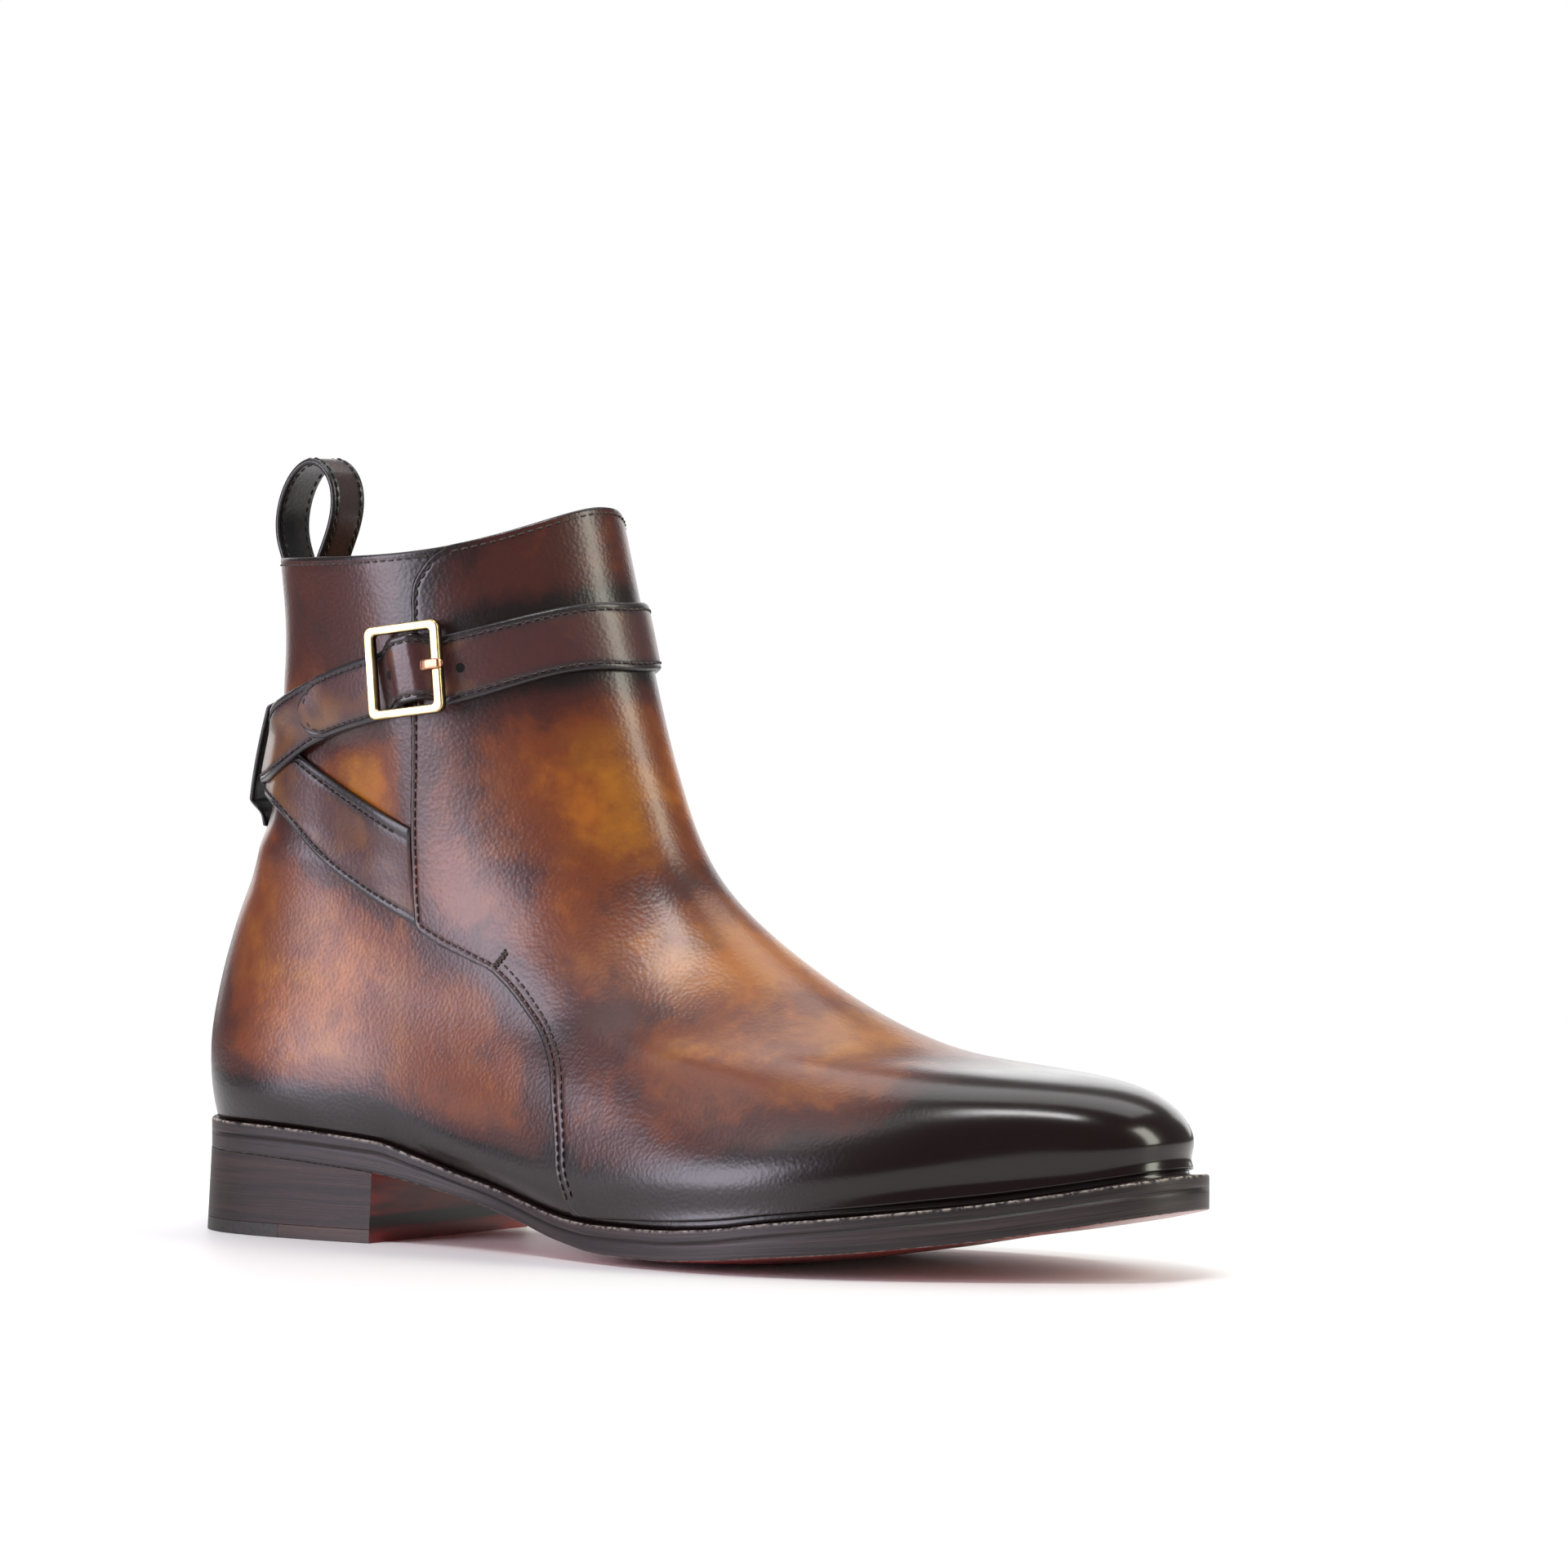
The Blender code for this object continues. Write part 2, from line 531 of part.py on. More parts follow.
def build_heel():
    """Stacked heel, rubber at the back of its top piece and leather in front."""
    heel_block("heel_stack", 0, HEEL_BREAST, TOP_LIFT + GAP, None, 15, STACK)
    heel_block("heel_rubber", 0, TOP_LIFT_JOINT, 0.0, TOP_LIFT, 13, RUBBER)
    heel_block("heel_top_piece", TOP_LIFT_JOINT + GAP, HEEL_BREAST, 0.0, TOP_LIFT, 5, TOP_PIECE)


def build_upper():
    """Hollow upper: a wall open at the collar and underneath."""
    t = np.linspace(0, 2 * np.pi, COLUMNS, endpoint=False)
    tt, vv = np.meshgrid(t, ROWS, indexing="ij")
    outer = surface(tt, vv)
    inner = offset(tt, vv, np.full(tt.shape, -UPPER_WALL))
    inner[:, 0, 2] = feather_z(inner[:, 0, 0])
    between("upper", outer, inner, CALF, ring=True)


def seam_angle(level, inner):
    """Angle of the front panel's rear edge."""
    a = np.radians(easy(SEAM, 2 if inner else 1, level))
    return 2 * np.pi - a if inner else a


def build_panels():
    """Front panel, back stay and keeper, each a layer over the upper."""
    v = np.concatenate([[0.012], ROWS[1:]])
    step = 2 * np.pi / COLUMNS
    shared = np.arange(23, COLUMNS - 22)[:, None] * step * np.ones_like(v)
    f = np.linspace(0, 1, 6)[:-1, None]
    near = seam_angle(v, False)[None, :] * (1 - f) + shared[:1] * f
    far = shared[-1:] * f[::-1] + seam_angle(v, True)[None, :] * (1 - f[::-1])
    t = np.concatenate([near, shared, far])
    vv = np.broadcast_to(v, t.shape)
    base = np.full(t.shape, PANEL_GAP)
    between("front_panel", offset(t, vv, base + PANEL_THICK), offset(t, vv, base), CALF)

    v = np.array([0.014, 0.05, 0.1, 0.16, 0.22, 0.3, 0.38, 0.46, 0.54, 0.62, 0.7, 0.78, 0.86, 0.93, 0.985])
    t = np.linspace(-1, 1, 7)[:, None] * (STAY_WIDTH / 2 / back_reach(v))[None, :]
    vv = np.broadcast_to(v, t.shape)
    base = np.full(t.shape, GAP)
    between("back_stay", offset(t, vv, base + STAY_THICK), offset(t, vv, base), STRAP_CALF)

    v = np.linspace(KEEPER[0][0], KEEPER[-1][0], 17)
    low = KEEPER_RISE * easy(KEEPER, 1, v)
    t = np.linspace(-1, 1, 7)[:, None] * (KEEPER_WIDTH / 2 / (back_reach(v) + low))[None, :]
    vv = np.broadcast_to(v, t.shape)
    low = np.broadcast_to(low, t.shape)
    between("back_keeper", offset(t, vv, low + KEEPER_THICK), offset(t, vv, low), STRAP_CALF)


def strap_edges(low_side):
    """Upper and lower edge of a strap as running angle and level; low side first."""
    rows = []
    for ua, ul, la, ll in STRAP_LOW:
        rows.append((ua * low_side, ul, la * low_side, ll))
    for a, up, lo in STRAP_HIGH:
        rows.append((-a * low_side, up, -a * low_side, lo))
    for a, up, lo in STRAP_HIGH[-2::-1]:
        if a >= 42:
            rows.append((-(360 - a) * low_side, up, -(360 - a) * low_side, lo))
    return np.array(rows)


def strap_at(low_side, turn):
    """The four edge values of a strap at running angles."""
    rows = strap_edges(low_side)
    rows = rows[np.argsort(rows[:, 0] + rows[:, 2])]
    return spline((rows[:, 0] + rows[:, 2]) / 2, rows, turn)


def strap_middle(e):
    """Points along the middle of a strap."""
    return surface(np.radians((e[:, 0] + e[:, 2]) / 2), (e[:, 1] + e[:, 3]) / 2)


def strap_solid(name, e, lift, narrow):
    """Strap through its edges at the height that lift gives; narrow rounds its tip."""
    f = 0.5 + (np.linspace(0, 1, 5)[None, :] - 0.5) * narrow[:, None]
    ang = e[:, 0][:, None] * (1 - f) + e[:, 2][:, None] * f
    lev = e[:, 1][:, None] * (1 - f) + e[:, 3][:, None] * f
    low = lift(ang)
    t = np.radians(ang)
    between(name, offset(t, lev, low + STRAP_THICK), offset(t, lev, low), STRAP_CALF)


def from_back(a):
    """Degrees from the back line, the short way."""
    return np.abs((np.asarray(a) + 180) % 360 - 180)


def over_stay(a):
    """One where a strap lies on the back stay."""
    return 1 - smooth(from_back(a), 19, 34)


def over_cross(a):
    """One where the buckle's strap lies on the other strap."""
    return 1 - smooth(from_back(a), 52, 68)


def over_panel(a):
    """One where a strap lies on the front panel."""
    return smooth(from_back(a), 88, 95.5)


def buckle_lift(a):
    """Height of the buckle's strap above the upper."""
    return GAP + (STRAP_THICK + CROSS_GAP) * over_cross(a) + (STAY_THICK + GAP) * over_stay(a)


def long_lift(a):
    """Height of the long strap above the upper, with its hump in the buckle."""
    a = np.asarray(a)
    start = GAP + (STAY_THICK + GAP) * over_stay(a) + (PANEL_THICK + PANEL_GAP) * over_panel(a) * (a < -60)
    turned = a + 360
    end = buckle_lift(turned) + STRAP_THICK + CROSS_GAP
    blend = 1 - smooth(turned, 95, 102)
    body = start * (1 - blend) + end * blend
    bump = smooth(turned, 91.5, 98) * (1 - smooth(turned, 102, 108.5))
    body = body + bump * (STRAP_HUMP - body)
    return np.where(a < -200, body, start)


def build_straps():
    """The long strap with the rounded tip and the strap that holds the buckle."""
    stop = -(360 - TIP_ANGLE)
    turn = np.concatenate([np.linspace(84.3, 10, 12), np.linspace(0, -230, 34), np.linspace(-236, -276, 22),
                           np.array([-281, -287, -292, -296, -298.5, -300.7, -302.4, -303.4, stop])])
    e = strap_at(1.0, turn)
    inside = smooth(turn + 360, 90, 97) * (1 - smooth(turn + 360, 103, 110))
    raised = BUCKLE_RISE * inside / BOOT_HEIGHT
    e[:, 1] += raised
    e[:, 3] += raised
    steps = np.linalg.norm(np.diff(strap_middle(e), axis=0), axis=1)
    from_tip = np.concatenate([np.cumsum(steps[::-1])[::-1], [0]])
    near = np.clip(1 - from_tip / STRAP_TIP, 0, 1)
    strap_solid("strap_long", e, long_lift, 0.2 + 0.8 * np.sqrt(1 - near ** 2))

    turn = np.concatenate([np.linspace(-84.6, -10, 12), np.linspace(0, 95.6, 20)])
    strap_solid("strap_buckle", strap_at(-1.0, turn), buckle_lift, np.ones(len(turn)))


def buckle_place():
    """Middle of the buckle, its directions along the strap, up and out, and the strap's out."""
    e = strap_at(-1.0, np.array([BUCKLE_ANGLE - 6, BUCKLE_ANGLE, BUCKLE_ANGLE + 6]))
    c = strap_middle(e)
    out = normal(np.radians(BUCKLE_ANGLE), (e[1][1] + e[1][3]) / 2)
    along = c[2] - c[0]
    along = along - out * np.dot(along, out)
    along /= np.linalg.norm(along)
    up = np.cross(out, along)
    if up[2] < 0:
        up = -up
    middle_point = c[1] + BUCKLE_RISE * up
    turn = np.radians(BUCKLE_TURN)
    lean = np.radians(BUCKLE_LEAN)
    turned = along * np.cos(turn) + up * np.sin(turn)
    flat_up = up * np.cos(turn) - along * np.sin(turn)
    return (middle_point, turned, flat_up * np.cos(lean) - out * np.sin(lean),
            out * np.cos(lean) + flat_up * np.sin(lean), out)


def rounded(width, height, radius):
    """Rounded rectangle as points."""
    pts = []
    for cx, cy, start in ((1, 1, 0), (-1, 1, 90), (-1, -1, 180), (1, -1, 270)):
        for k in range(5):
            a = np.radians(start + 22.5 * k)
            pts.append((cx * (width / 2 - radius) + radius * np.cos(a),
                        cy * (height / 2 - radius) + radius * np.sin(a)))
    return np.array(pts)


def build_buckle():
    """Buckle frame, the bar that its strap turns round, and its prong."""
    c, along, up, out, away = buckle_place()

    def place(x, y, z):
        return c + x[..., None] * along + y[..., None] * up + z[..., None] * out
    outer = rounded(BUCKLE_WIDTH, BUCKLE_HEIGHT, BUCKLE_CORNER)
    inner = rounded(BUCKLE_WIDTH - 2 * BUCKLE_SIDE, BUCKLE_HEIGHT - 2 * BUCKLE_END, BUCKLE_CORNER / 2)
    low = BUCKLE_LIFT
    high = low + BUCKLE_DEPTH
    bevel = BUCKLE_BEVEL
    rings = [(outer, low + bevel, 0), (outer, high - bevel, 0), (outer, high, bevel), (inner, high, -bevel),
             (inner, high - bevel, 0), (inner, low + bevel, 0), (inner, low, -bevel), (outer, low, bevel)]
    grid = []
    for loop, z, pull in rings:
        xy = loop * (1 - pull / np.abs(loop).max(axis=0))
        grid.append(place(xy[:, 0], xy[:, 1], np.full(len(xy), z)))
    grid = np.array(grid)
    n, m = grid.shape[:2]
    faces = [(i * m + j, i * m + (j + 1) % m, ((i + 1) % n) * m + (j + 1) % m, ((i + 1) % n) * m + j)
             for i in range(n) for j in range(m)]
    solid("buckle_frame", grid.reshape(-1, 3), faces, BRASS)

    a = np.linspace(0, 2 * np.pi, 12, endpoint=False)
    reach = BUCKLE_HEIGHT / 2 - BUCKLE_END - GAP
    radius = BAR_THICK / 2
    rise = np.cross(away, along)
    ring = []
    for y in (-reach, reach):
        z = BAR_LIFT + radius * np.sin(a)
        ring.append(c + y * rise + radius * np.cos(a)[:, None] * along + z[:, None] * away)
    faces = [(j, (j + 1) % 12, 12 + (j + 1) % 12, 12 + j) for j in range(12)]
    faces += [tuple(range(12)), tuple(range(23, 11, -1))]
    solid("buckle_bar", np.concatenate(ring), faces, BRASS)

    # along the prong: share of half the buckle's width, height over the frame in prong thicknesses, width share
    rows = np.array([(0.50, -0.20, 0.9), (0.60, 0.12, 1.0), (0.70, 0.27, 1.0), (0.80, 0.27, 1.0),
                     (0.93, 0.27, 0.95), (1.02, 0.23, 0.8)])
    x = rows[:, 0] * BUCKLE_WIDTH / 2
    z = high + rows[:, 1] * PRONG_THICK
    w = rows[:, 2] * PRONG_WIDTH / 2
    grid = np.array([place(x, -w, z), place(x, w, z), place(x, w, z + PRONG_THICK), place(x, -w, z + PRONG_THICK)])
    k = len(x)
    faces = [(4 * i + j, 4 * i + (j + 1) % 4, 4 * (i + 1) + (j + 1) % 4, 4 * (i + 1) + j)
             for i in range(k - 1) for j in range(4)]
    faces += [(0, 1, 2, 3), tuple(4 * (k - 1) + j for j in (3, 2, 1, 0))]
    solid("buckle_prong", grid.transpose(1, 0, 2).reshape(-1, 3), faces, BRASS)


def build_loop():
    """Pull loop: a band carried along its path."""
    path = np.array(LOOP) * (SOLE_LENGTH, BOOT_HEIGHT)
    d = np.concatenate([[0], np.cumsum(np.hypot(*np.diff(path, axis=0).T))])
    c = spline(d, path, np.linspace(0, d[-1], 45))
    g = np.gradient(c, axis=0)
    g /= np.linalg.norm(g, axis=1)[:, None]
    n = np.stack([-g[:, 1], g[:, 0]], -1)
    y = np.linspace(-1, 1, 3)[None, :] * LOOP_WIDTH / 2
    sides = []
    for side in (1, -1):
        p = c + n * side * LOOP_THICK / 2
        sides.append(np.stack([p[:, :1] + 0 * y, y + 0 * p[:, :1], p[:, 1:] + 0 * y], -1))
    between("pull_loop", sides[0], sides[1], STRAP_CALF)


build_sole()
build_heel()
build_upper()
build_panels()
build_straps()
build_buckle()
build_loop()
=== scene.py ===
"""Looks of the jodhpur boot: burnished calf, folded straps, brass buckle, leather sole.

Shapes are worked out in millimetres from the back of the sole on the floor, with +X to
the toe, +Y to the inner side and +Z up, and are moved to the frame's origin in metres.
"""
import bpy
import bmesh
import numpy as np
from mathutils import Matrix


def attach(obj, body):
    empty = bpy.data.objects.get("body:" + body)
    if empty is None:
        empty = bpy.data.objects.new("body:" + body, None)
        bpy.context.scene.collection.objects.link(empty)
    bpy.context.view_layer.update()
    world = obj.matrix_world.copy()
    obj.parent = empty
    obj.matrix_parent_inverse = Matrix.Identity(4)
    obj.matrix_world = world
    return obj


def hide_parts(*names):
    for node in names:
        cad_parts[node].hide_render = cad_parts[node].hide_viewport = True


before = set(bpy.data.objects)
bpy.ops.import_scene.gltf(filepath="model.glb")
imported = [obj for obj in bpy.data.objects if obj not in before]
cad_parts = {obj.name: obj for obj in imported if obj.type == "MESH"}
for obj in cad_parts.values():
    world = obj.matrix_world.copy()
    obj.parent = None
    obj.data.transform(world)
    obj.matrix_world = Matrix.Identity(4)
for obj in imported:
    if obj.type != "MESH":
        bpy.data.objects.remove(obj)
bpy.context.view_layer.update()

bl_info = {
    "name": "Jodhpur boot",
    "version": (1, 0, 0),
    "blender": (4, 5, 0),
    "location": "View3D > Sidebar > Boot",
    "description": "Builds the finished pieces of a hand-coloured jodhpur boot round its solids",
    "category": "Add Mesh",
}

# Sizes of the solids, in millimetres
MM = 0.001
SOLE_LENGTH = 302.0
BALL_WIDTH = 99.0
BOOT_HEIGHT = 191.8
HEEL_HEIGHT = 22.2
EDGE_THICKNESS = 8.6
HEEL_RADIUS = 33.0
TOE_RADIUS = 27.0
HEEL_BREAST = 73.0
HEEL_FLARE = 1.2
TOP_LIFT = 3.6
TOP_LIFT_JOINT = 42.0
GAP = 0.3
REST = 0.05
STAY_TOP = 1.15
UPPER_WALL = 2.0
LINING = 1.2
PANEL_THICK = 0.9
PANEL_GAP = 0.5
STAY_WIDTH = 13.5
KEEPER_WIDTH = 15.0
KEEPER_THICK = 1.4
KEEPER_RISE = 6.5
STRAP_THICK = 1.8
STRAP_TIP = 8.5
STRAP_HUMP = 4.6
STRAP_WIDTH = 18.0
WELT_THICK = 3.0
WAIST_THINNING = 1.0
WELT_SHOW = 4.5
WELT_REACH = 3.4
INSOLE_RISE = 1.6
INSOLE_GAP = 0.6
BUCKLE_WIDTH = 23.8
BUCKLE_HEIGHT = 23.6
BUCKLE_DEPTH = 2.5
BUCKLE_SIDE = 3.3
BUCKLE_END = 2.0
BUCKLE_CORNER = 2.2
BUCKLE_LIFT = 4.45
BUCKLE_RISE = 2.2
BAR_THICK = 1.6
BAR_LIFT = 3.3
PRONG_WIDTH = 2.8
PRONG_THICK = 1.3
COLLAR_DIP = 3.5
LOOP_WIDTH = 13.0
LOOP_THICK = 1.7
ORIGIN_X = 22.0
BUCKLE_ANGLE = 100.0
BUCKLE_TURN = -6.0
BUCKLE_LEAN = 6.0
TIP_ANGLE = 56.2
# rows of stitches, in from the edge of the leather
ROW_IN = 1.9
SEAM_ROW_IN = 1.7
SECOND_ROW_IN = 3.8
LOOP_ROW_IN = 1.8
# thread and pitch of a bar tack
TACK = 0.62
# running angles where the straps and their stitches start, and where the buckle's strap ends
STRAP_START = 86.4
STITCH_START = 82.5
CROSS_END = 95.6
# ends of the line along the middle of the sole, in from the back and from the toe
SPINE_BACK = 30.0
SPINE_TOE = 28.0
# the heel's flare is gone at STACK_TOP, and the stack's own loops take their flare up to FLARE_TOP
STACK_TOP = 22.0
FLARE_TOP = 21.0
TURN = 2 * np.pi
# the photo's camera: frame and lens in pixels, the pixel straight ahead of it, its turn from the
# side view in degrees, its distance from the point it stands off, and that point, in metres
PHOTO_PIXELS = 1920
PHOTO_LENS = 8732.6
PHOTO_AHEAD = (837.2, 762.4)
CAMERA_TURN = 37.5
CAMERA_AWAY = 1.8374
CAMERA_POINT = (0.150, 0.1617)
SENSOR = 36

# sole outline: station as a share of SOLE_LENGTH, outer and inner side as shares of BALL_WIDTH
OUTLINE = [
    (0.0331, 0.2444, 0.2384), (0.1192, 0.3364, 0.3293), (0.1987, 0.3424, 0.3253), (0.298, 0.3263, 0.2768),
    (0.3709, 0.3374, 0.2525), (0.4305, 0.3838, 0.2727), (0.5298, 0.4727, 0.3515), (0.6291, 0.5202, 0.4364),
    (0.7119, 0.503, 0.4788), (0.7947, 0.4303, 0.4707), (0.8675, 0.3313, 0.4222), (0.9272, 0.2253, 0.3455),
    (0.9702, 0.1333, 0.2687),
]
# sole edge: station, then lower height and fall to the middle as shares of HEEL_HEIGHT
# (second and fourth column) and thickness as a share of EDGE_THICKNESS (third column)
EDGE = [
    (0.0, 1.0, 0.8837, 0.0), (0.1192, 0.9459, 0.9302, 0.0), (0.1987, 0.8784, 0.9535, 0.0),
    (0.2417, 0.8243, 0.9535, 0.0), (0.2881, 0.7252, 0.7907, 0.0405), (0.3477, 0.5676, 0.6512, 0.0721),
    (0.4139, 0.3739, 0.6512, 0.0991), (0.4702, 0.2072, 0.7093, 0.1126), (0.5298, 0.1126, 0.8372, 0.1261),
    (0.5894, 0.1081, 0.8721, 0.1306), (0.6457, 0.1486, 0.8837, 0.1532), (0.7053, 0.2162, 0.9767, 0.1396),
    (0.7649, 0.2838, 1.0233, 0.1396), (0.8212, 0.3694, 1.0349, 0.1351), (0.8742, 0.464, 1.0233, 0.1261),
    (0.9205, 0.5721, 1.0116, 0.1171), (0.9636, 0.6847, 1.0, 0.1081), (1.0, 0.7793, 1.0, 0.0991),
]
# middle line from above: station, shift to the inner side as a share of BALL_WIDTH
MIDDLE = [
    (0.0, 0.0), (0.1987, 0.002), (0.3311, 0.0152), (0.4636, 0.0323), (0.596, 0.0525),
    (0.7285, 0.0687), (0.8609, 0.0727), (1.0, 0.0667),
]
# welt beyond the upper: angle round the boot, share of WELT_SHOW
INSET = [
    (0.0, 0.3556), (60.0, 0.3778), (85.0, 0.4222), (105.0, 0.7111), (120.0, 0.9778),
    (150.0, 1.0), (180.0, 1.0),
]
# rings of the upper, from just above the welt to the collar: level; back x, back z, front x and
# front z as shares of SOLE_LENGTH and BOOT_HEIGHT; how much the ring follows the sole; rise power;
# back and front radius, outer half widths and inner half widths as shares of BALL_WIDTH
RINGS = [
    (0.03, -0.0007, 0.1825, 0.9795, 0.1575, 1.0, 1.0, 0.303, 0.242,
     (0.301, 0.3313, 0.4374, 0.4424, 0.1848), (0.296, 0.301, 0.3182, 0.4434, 0.3263)),
    (0.085, -0.0046, 0.2294, 0.9811, 0.1825, 0.92, 1.0, 0.298, 0.253,
     (0.301, 0.3394, 0.4465, 0.4444, 0.1899), (0.297, 0.3111, 0.3485, 0.4505, 0.3293)),
    (0.14, -0.0046, 0.2711, 0.9682, 0.2164, 0.8, 1.0, 0.288, 0.242,
     (0.2949, 0.3364, 0.4323, 0.4141, 0.198), (0.2909, 0.3131, 0.3657, 0.4343, 0.3293)),
    (0.2, -0.001, 0.3128, 0.9321, 0.2492, 0.62, 1.0, 0.278, 0.222,
     (0.2808, 0.3263, 0.404, 0.3586, 0.1859), (0.2788, 0.3111, 0.3677, 0.402, 0.3111)),
    (0.27, 0.006, 0.365, 0.8642, 0.268, 0.42, 1.0, 0.263, 0.192,
     (0.2596, 0.3131, 0.3596, 0.3212, 0.1434), (0.2586, 0.301, 0.3394, 0.3596, 0.2747)),
    (0.345, 0.0159, 0.4119, 0.7715, 0.2805, 0.25, 1.0, 0.258, 0.172,
     (0.2455, 0.299, 0.3313, 0.2929, 0.1374), (0.2465, 0.2929, 0.3152, 0.3192, 0.2485)),
    (0.43, 0.0278, 0.4614, 0.6666, 0.3316, 0.12, 1.0, 0.253, 0.167,
     (0.2303, 0.2859, 0.3111, 0.2626, 0.1212), (0.2323, 0.2828, 0.301, 0.2788, 0.2071)),
    (0.52, 0.0407, 0.5109, 0.5709, 0.4129, 0.04, 1.0, 0.253, 0.157,
     (0.2222, 0.2788, 0.2949, 0.2444, 0.1152), (0.2242, 0.2788, 0.2909, 0.2505, 0.1818)),
    (0.61, 0.0526, 0.5735, 0.5079, 0.4979, 0.0, 1.0, 0.253, 0.152,
     (0.2202, 0.2828, 0.299, 0.2404, 0.1192), (0.2222, 0.2859, 0.297, 0.2424, 0.1677)),
    (0.71, 0.0656, 0.6569, 0.4715, 0.61, 0.0, 1.0, 0.258, 0.157,
     (0.2121, 0.2909, 0.3152, 0.2505, 0.1232), (0.2141, 0.2949, 0.3152, 0.2505, 0.1636)),
    (0.8, 0.0775, 0.7404, 0.4497, 0.7091, 0.0, 1.2, 0.263, 0.172,
     (0.202, 0.296, 0.3313, 0.2667, 0.1293), (0.204, 0.298, 0.3313, 0.2667, 0.1697)),
    (0.9, 0.0808, 0.8342, 0.4258, 0.8446, 0.0, 2.0, 0.263, 0.192,
     (0.1919, 0.299, 0.3434, 0.2848, 0.1394), (0.1939, 0.301, 0.3434, 0.2848, 0.1758)),
    (1.0, 0.0735, 0.9322, 0.4013, 1.0, 0.0, 5.0, 0.263, 0.212,
     (0.1848, 0.303, 0.3556, 0.299, 0.1495), (0.1869, 0.303, 0.3556, 0.299, 0.1798)),
]
STATIONS = np.radians([0, 30, 60, 90, 120, 150, 180])
LEVELS = np.array([0.0] + [row[0] for row in RINGS])
# front panel's rear edge: level, angle from the back on the outer side, on the inner side
SEAM = [
    (0.0, 89.2, 88.0), (0.034, 89.2, 88.0), (0.094, 88.2, 87.6), (0.17, 88.6, 88.0),
    (0.224, 89.6, 89.0), (0.265, 90.4, 90.0), (0.323, 92.1, 91.6), (0.383, 93.3, 92.8),
    (0.413, 92.6, 92.2), (0.427, 89.2, 89.2), (0.445, 84.0, 85.0), (0.465, 81.2, 83.0),
    (0.50, 83.0, 84.0), (0.597, 88.8, 88.8), (0.713, 93.8, 93.8), (0.82, 97.5, 96.5),
    (0.908, 102.0, 99.0), (0.952, 105.0, 100.0), (0.97, 108.3, 100.5), (0.99, 114.0, 101.0),
    (1.0, 120.5, 101.4)]
# low part of a strap, from its seam to the back: upper edge angle and level, lower ones
STRAP_LOW = [
    (88.6, 0.645, 80.0, 0.474), (78.4, 0.667, 71.4, 0.511), (66.4, 0.689, 63.1, 0.549),
    (51.9, 0.719, 52.7, 0.597), (40.0, 0.737, 43.0, 0.630), (20.0, 0.749, 21.0, 0.646)]
# high part of a strap, from the back to the front: angle, upper edge, lower edge
STRAP_HIGH = [
    (0, 0.756, 0.651), (20, 0.774, 0.668), (42, 0.800, 0.699), (56.4, 0.824, 0.737),
    (71.4, 0.847, 0.763), (86, 0.864, 0.783), (100, 0.878, 0.800), (113, 0.890, 0.814),
    (130, 0.903, 0.834), (148, 0.913, 0.849), (167, 0.916, 0.852), (180, 0.915, 0.851)]
# pull loop from the side: shares of SOLE_LENGTH and of BOOT_HEIGHT
LOOP = [
    (0.0715, 0.8629), (0.0692, 0.8968), (0.0649, 0.9307), (0.0589, 0.9593), (0.0576, 0.9854),
    (0.0613, 1.0141), (0.0692, 1.0396), (0.0811, 1.0594), (0.0957, 1.0678), (0.1096, 1.0584),
    (0.1192, 1.0365), (0.1215, 1.0115), (0.1179, 0.9802), (0.1099, 0.9499), (0.102, 0.9218),
    (0.0967, 0.8942), (0.095, 0.8629),
]
# keeper at the back: level, share of KEEPER_RISE
KEEPER = [
    (0.588, 0.277), (0.606, 0.431), (0.627, 0.938), (0.7, 1.0), (0.773, 0.938), (0.794, 0.431), (0.812, 0.277),
]
# Hand-rubbed shading of the calf, and one painted sheen, placed on the boot: centre x, centre z, reach in x,
# reach in z, how much darker (+) or lighter (-)
PATCHES = [
    (52, 66, 20, 13, -0.14), (24, 84, 10, 22, -0.06), (12, 60, 14, 40, 0.26), (78, 92, 18, 10, -0.12),
    (150, 60, 16, 14, 0.22), (176, 78, 24, 14, -0.22), (200, 54, 26, 9, -0.10), (134, 108, 12, 18, -0.16),
    (150, 92, 10, 9, 0.22), (118, 96, 10, 12, 0.16), (172, 62, 22, 6, 0.12), (124, 138, 13, 11, 0.12),
    # the lighter patch at x 72, z 118, between the straps, is a painted sheen
    (72, 118, 14, 11, -0.20), (104, 128, 8, 26, 0.16), (92, 60, 12, 26, 0.10), (185, 40, 46, 10, 0.12)]
# Studio lights: name, azimuth, elevation, distance in metres, width, height, watts, colour
LIGHTS = [
    ("key_softbox", -119, 11, 1.5, 0.76, 0.94, 17, "#F4EEFF"),
    ("high_softbox", -124, 50, 1.5, 0.60, 0.40, 1.8, "#FFF4F4"),
    ("front_panel_light", 16, 24, 1.5, 0.42, 1.2, 15, "#FAFAEA"),
    ("toe_softbox", -66, 69, 1.4, 0.6, 0.24, 8.5, "#FFFFFF"),
    ("overhead", 124, 66, 1.6, 2.0, 1.0, 13, "#FFFFFF"),
    ("back_panel", 127, 14, 1.7, 2.4, 0.8, 9, "#FFFFFF")]


def hue(code):
    """Linear RGB of an sRGB hex colour: each share c becomes ((c + 0.055) / 1.055) ** 2.4.

    A colour of the panel is linear already and comes back as it is."""
    if not isinstance(code, str):
        return tuple(code)
    c = np.array([int(code[i:i + 2], 16) for i in (1, 3, 5)]) / 255.0
    return tuple(np.where(c <= 0.04045, c / 12.92, ((c + 0.055) / 1.055) ** 2.4).tolist())


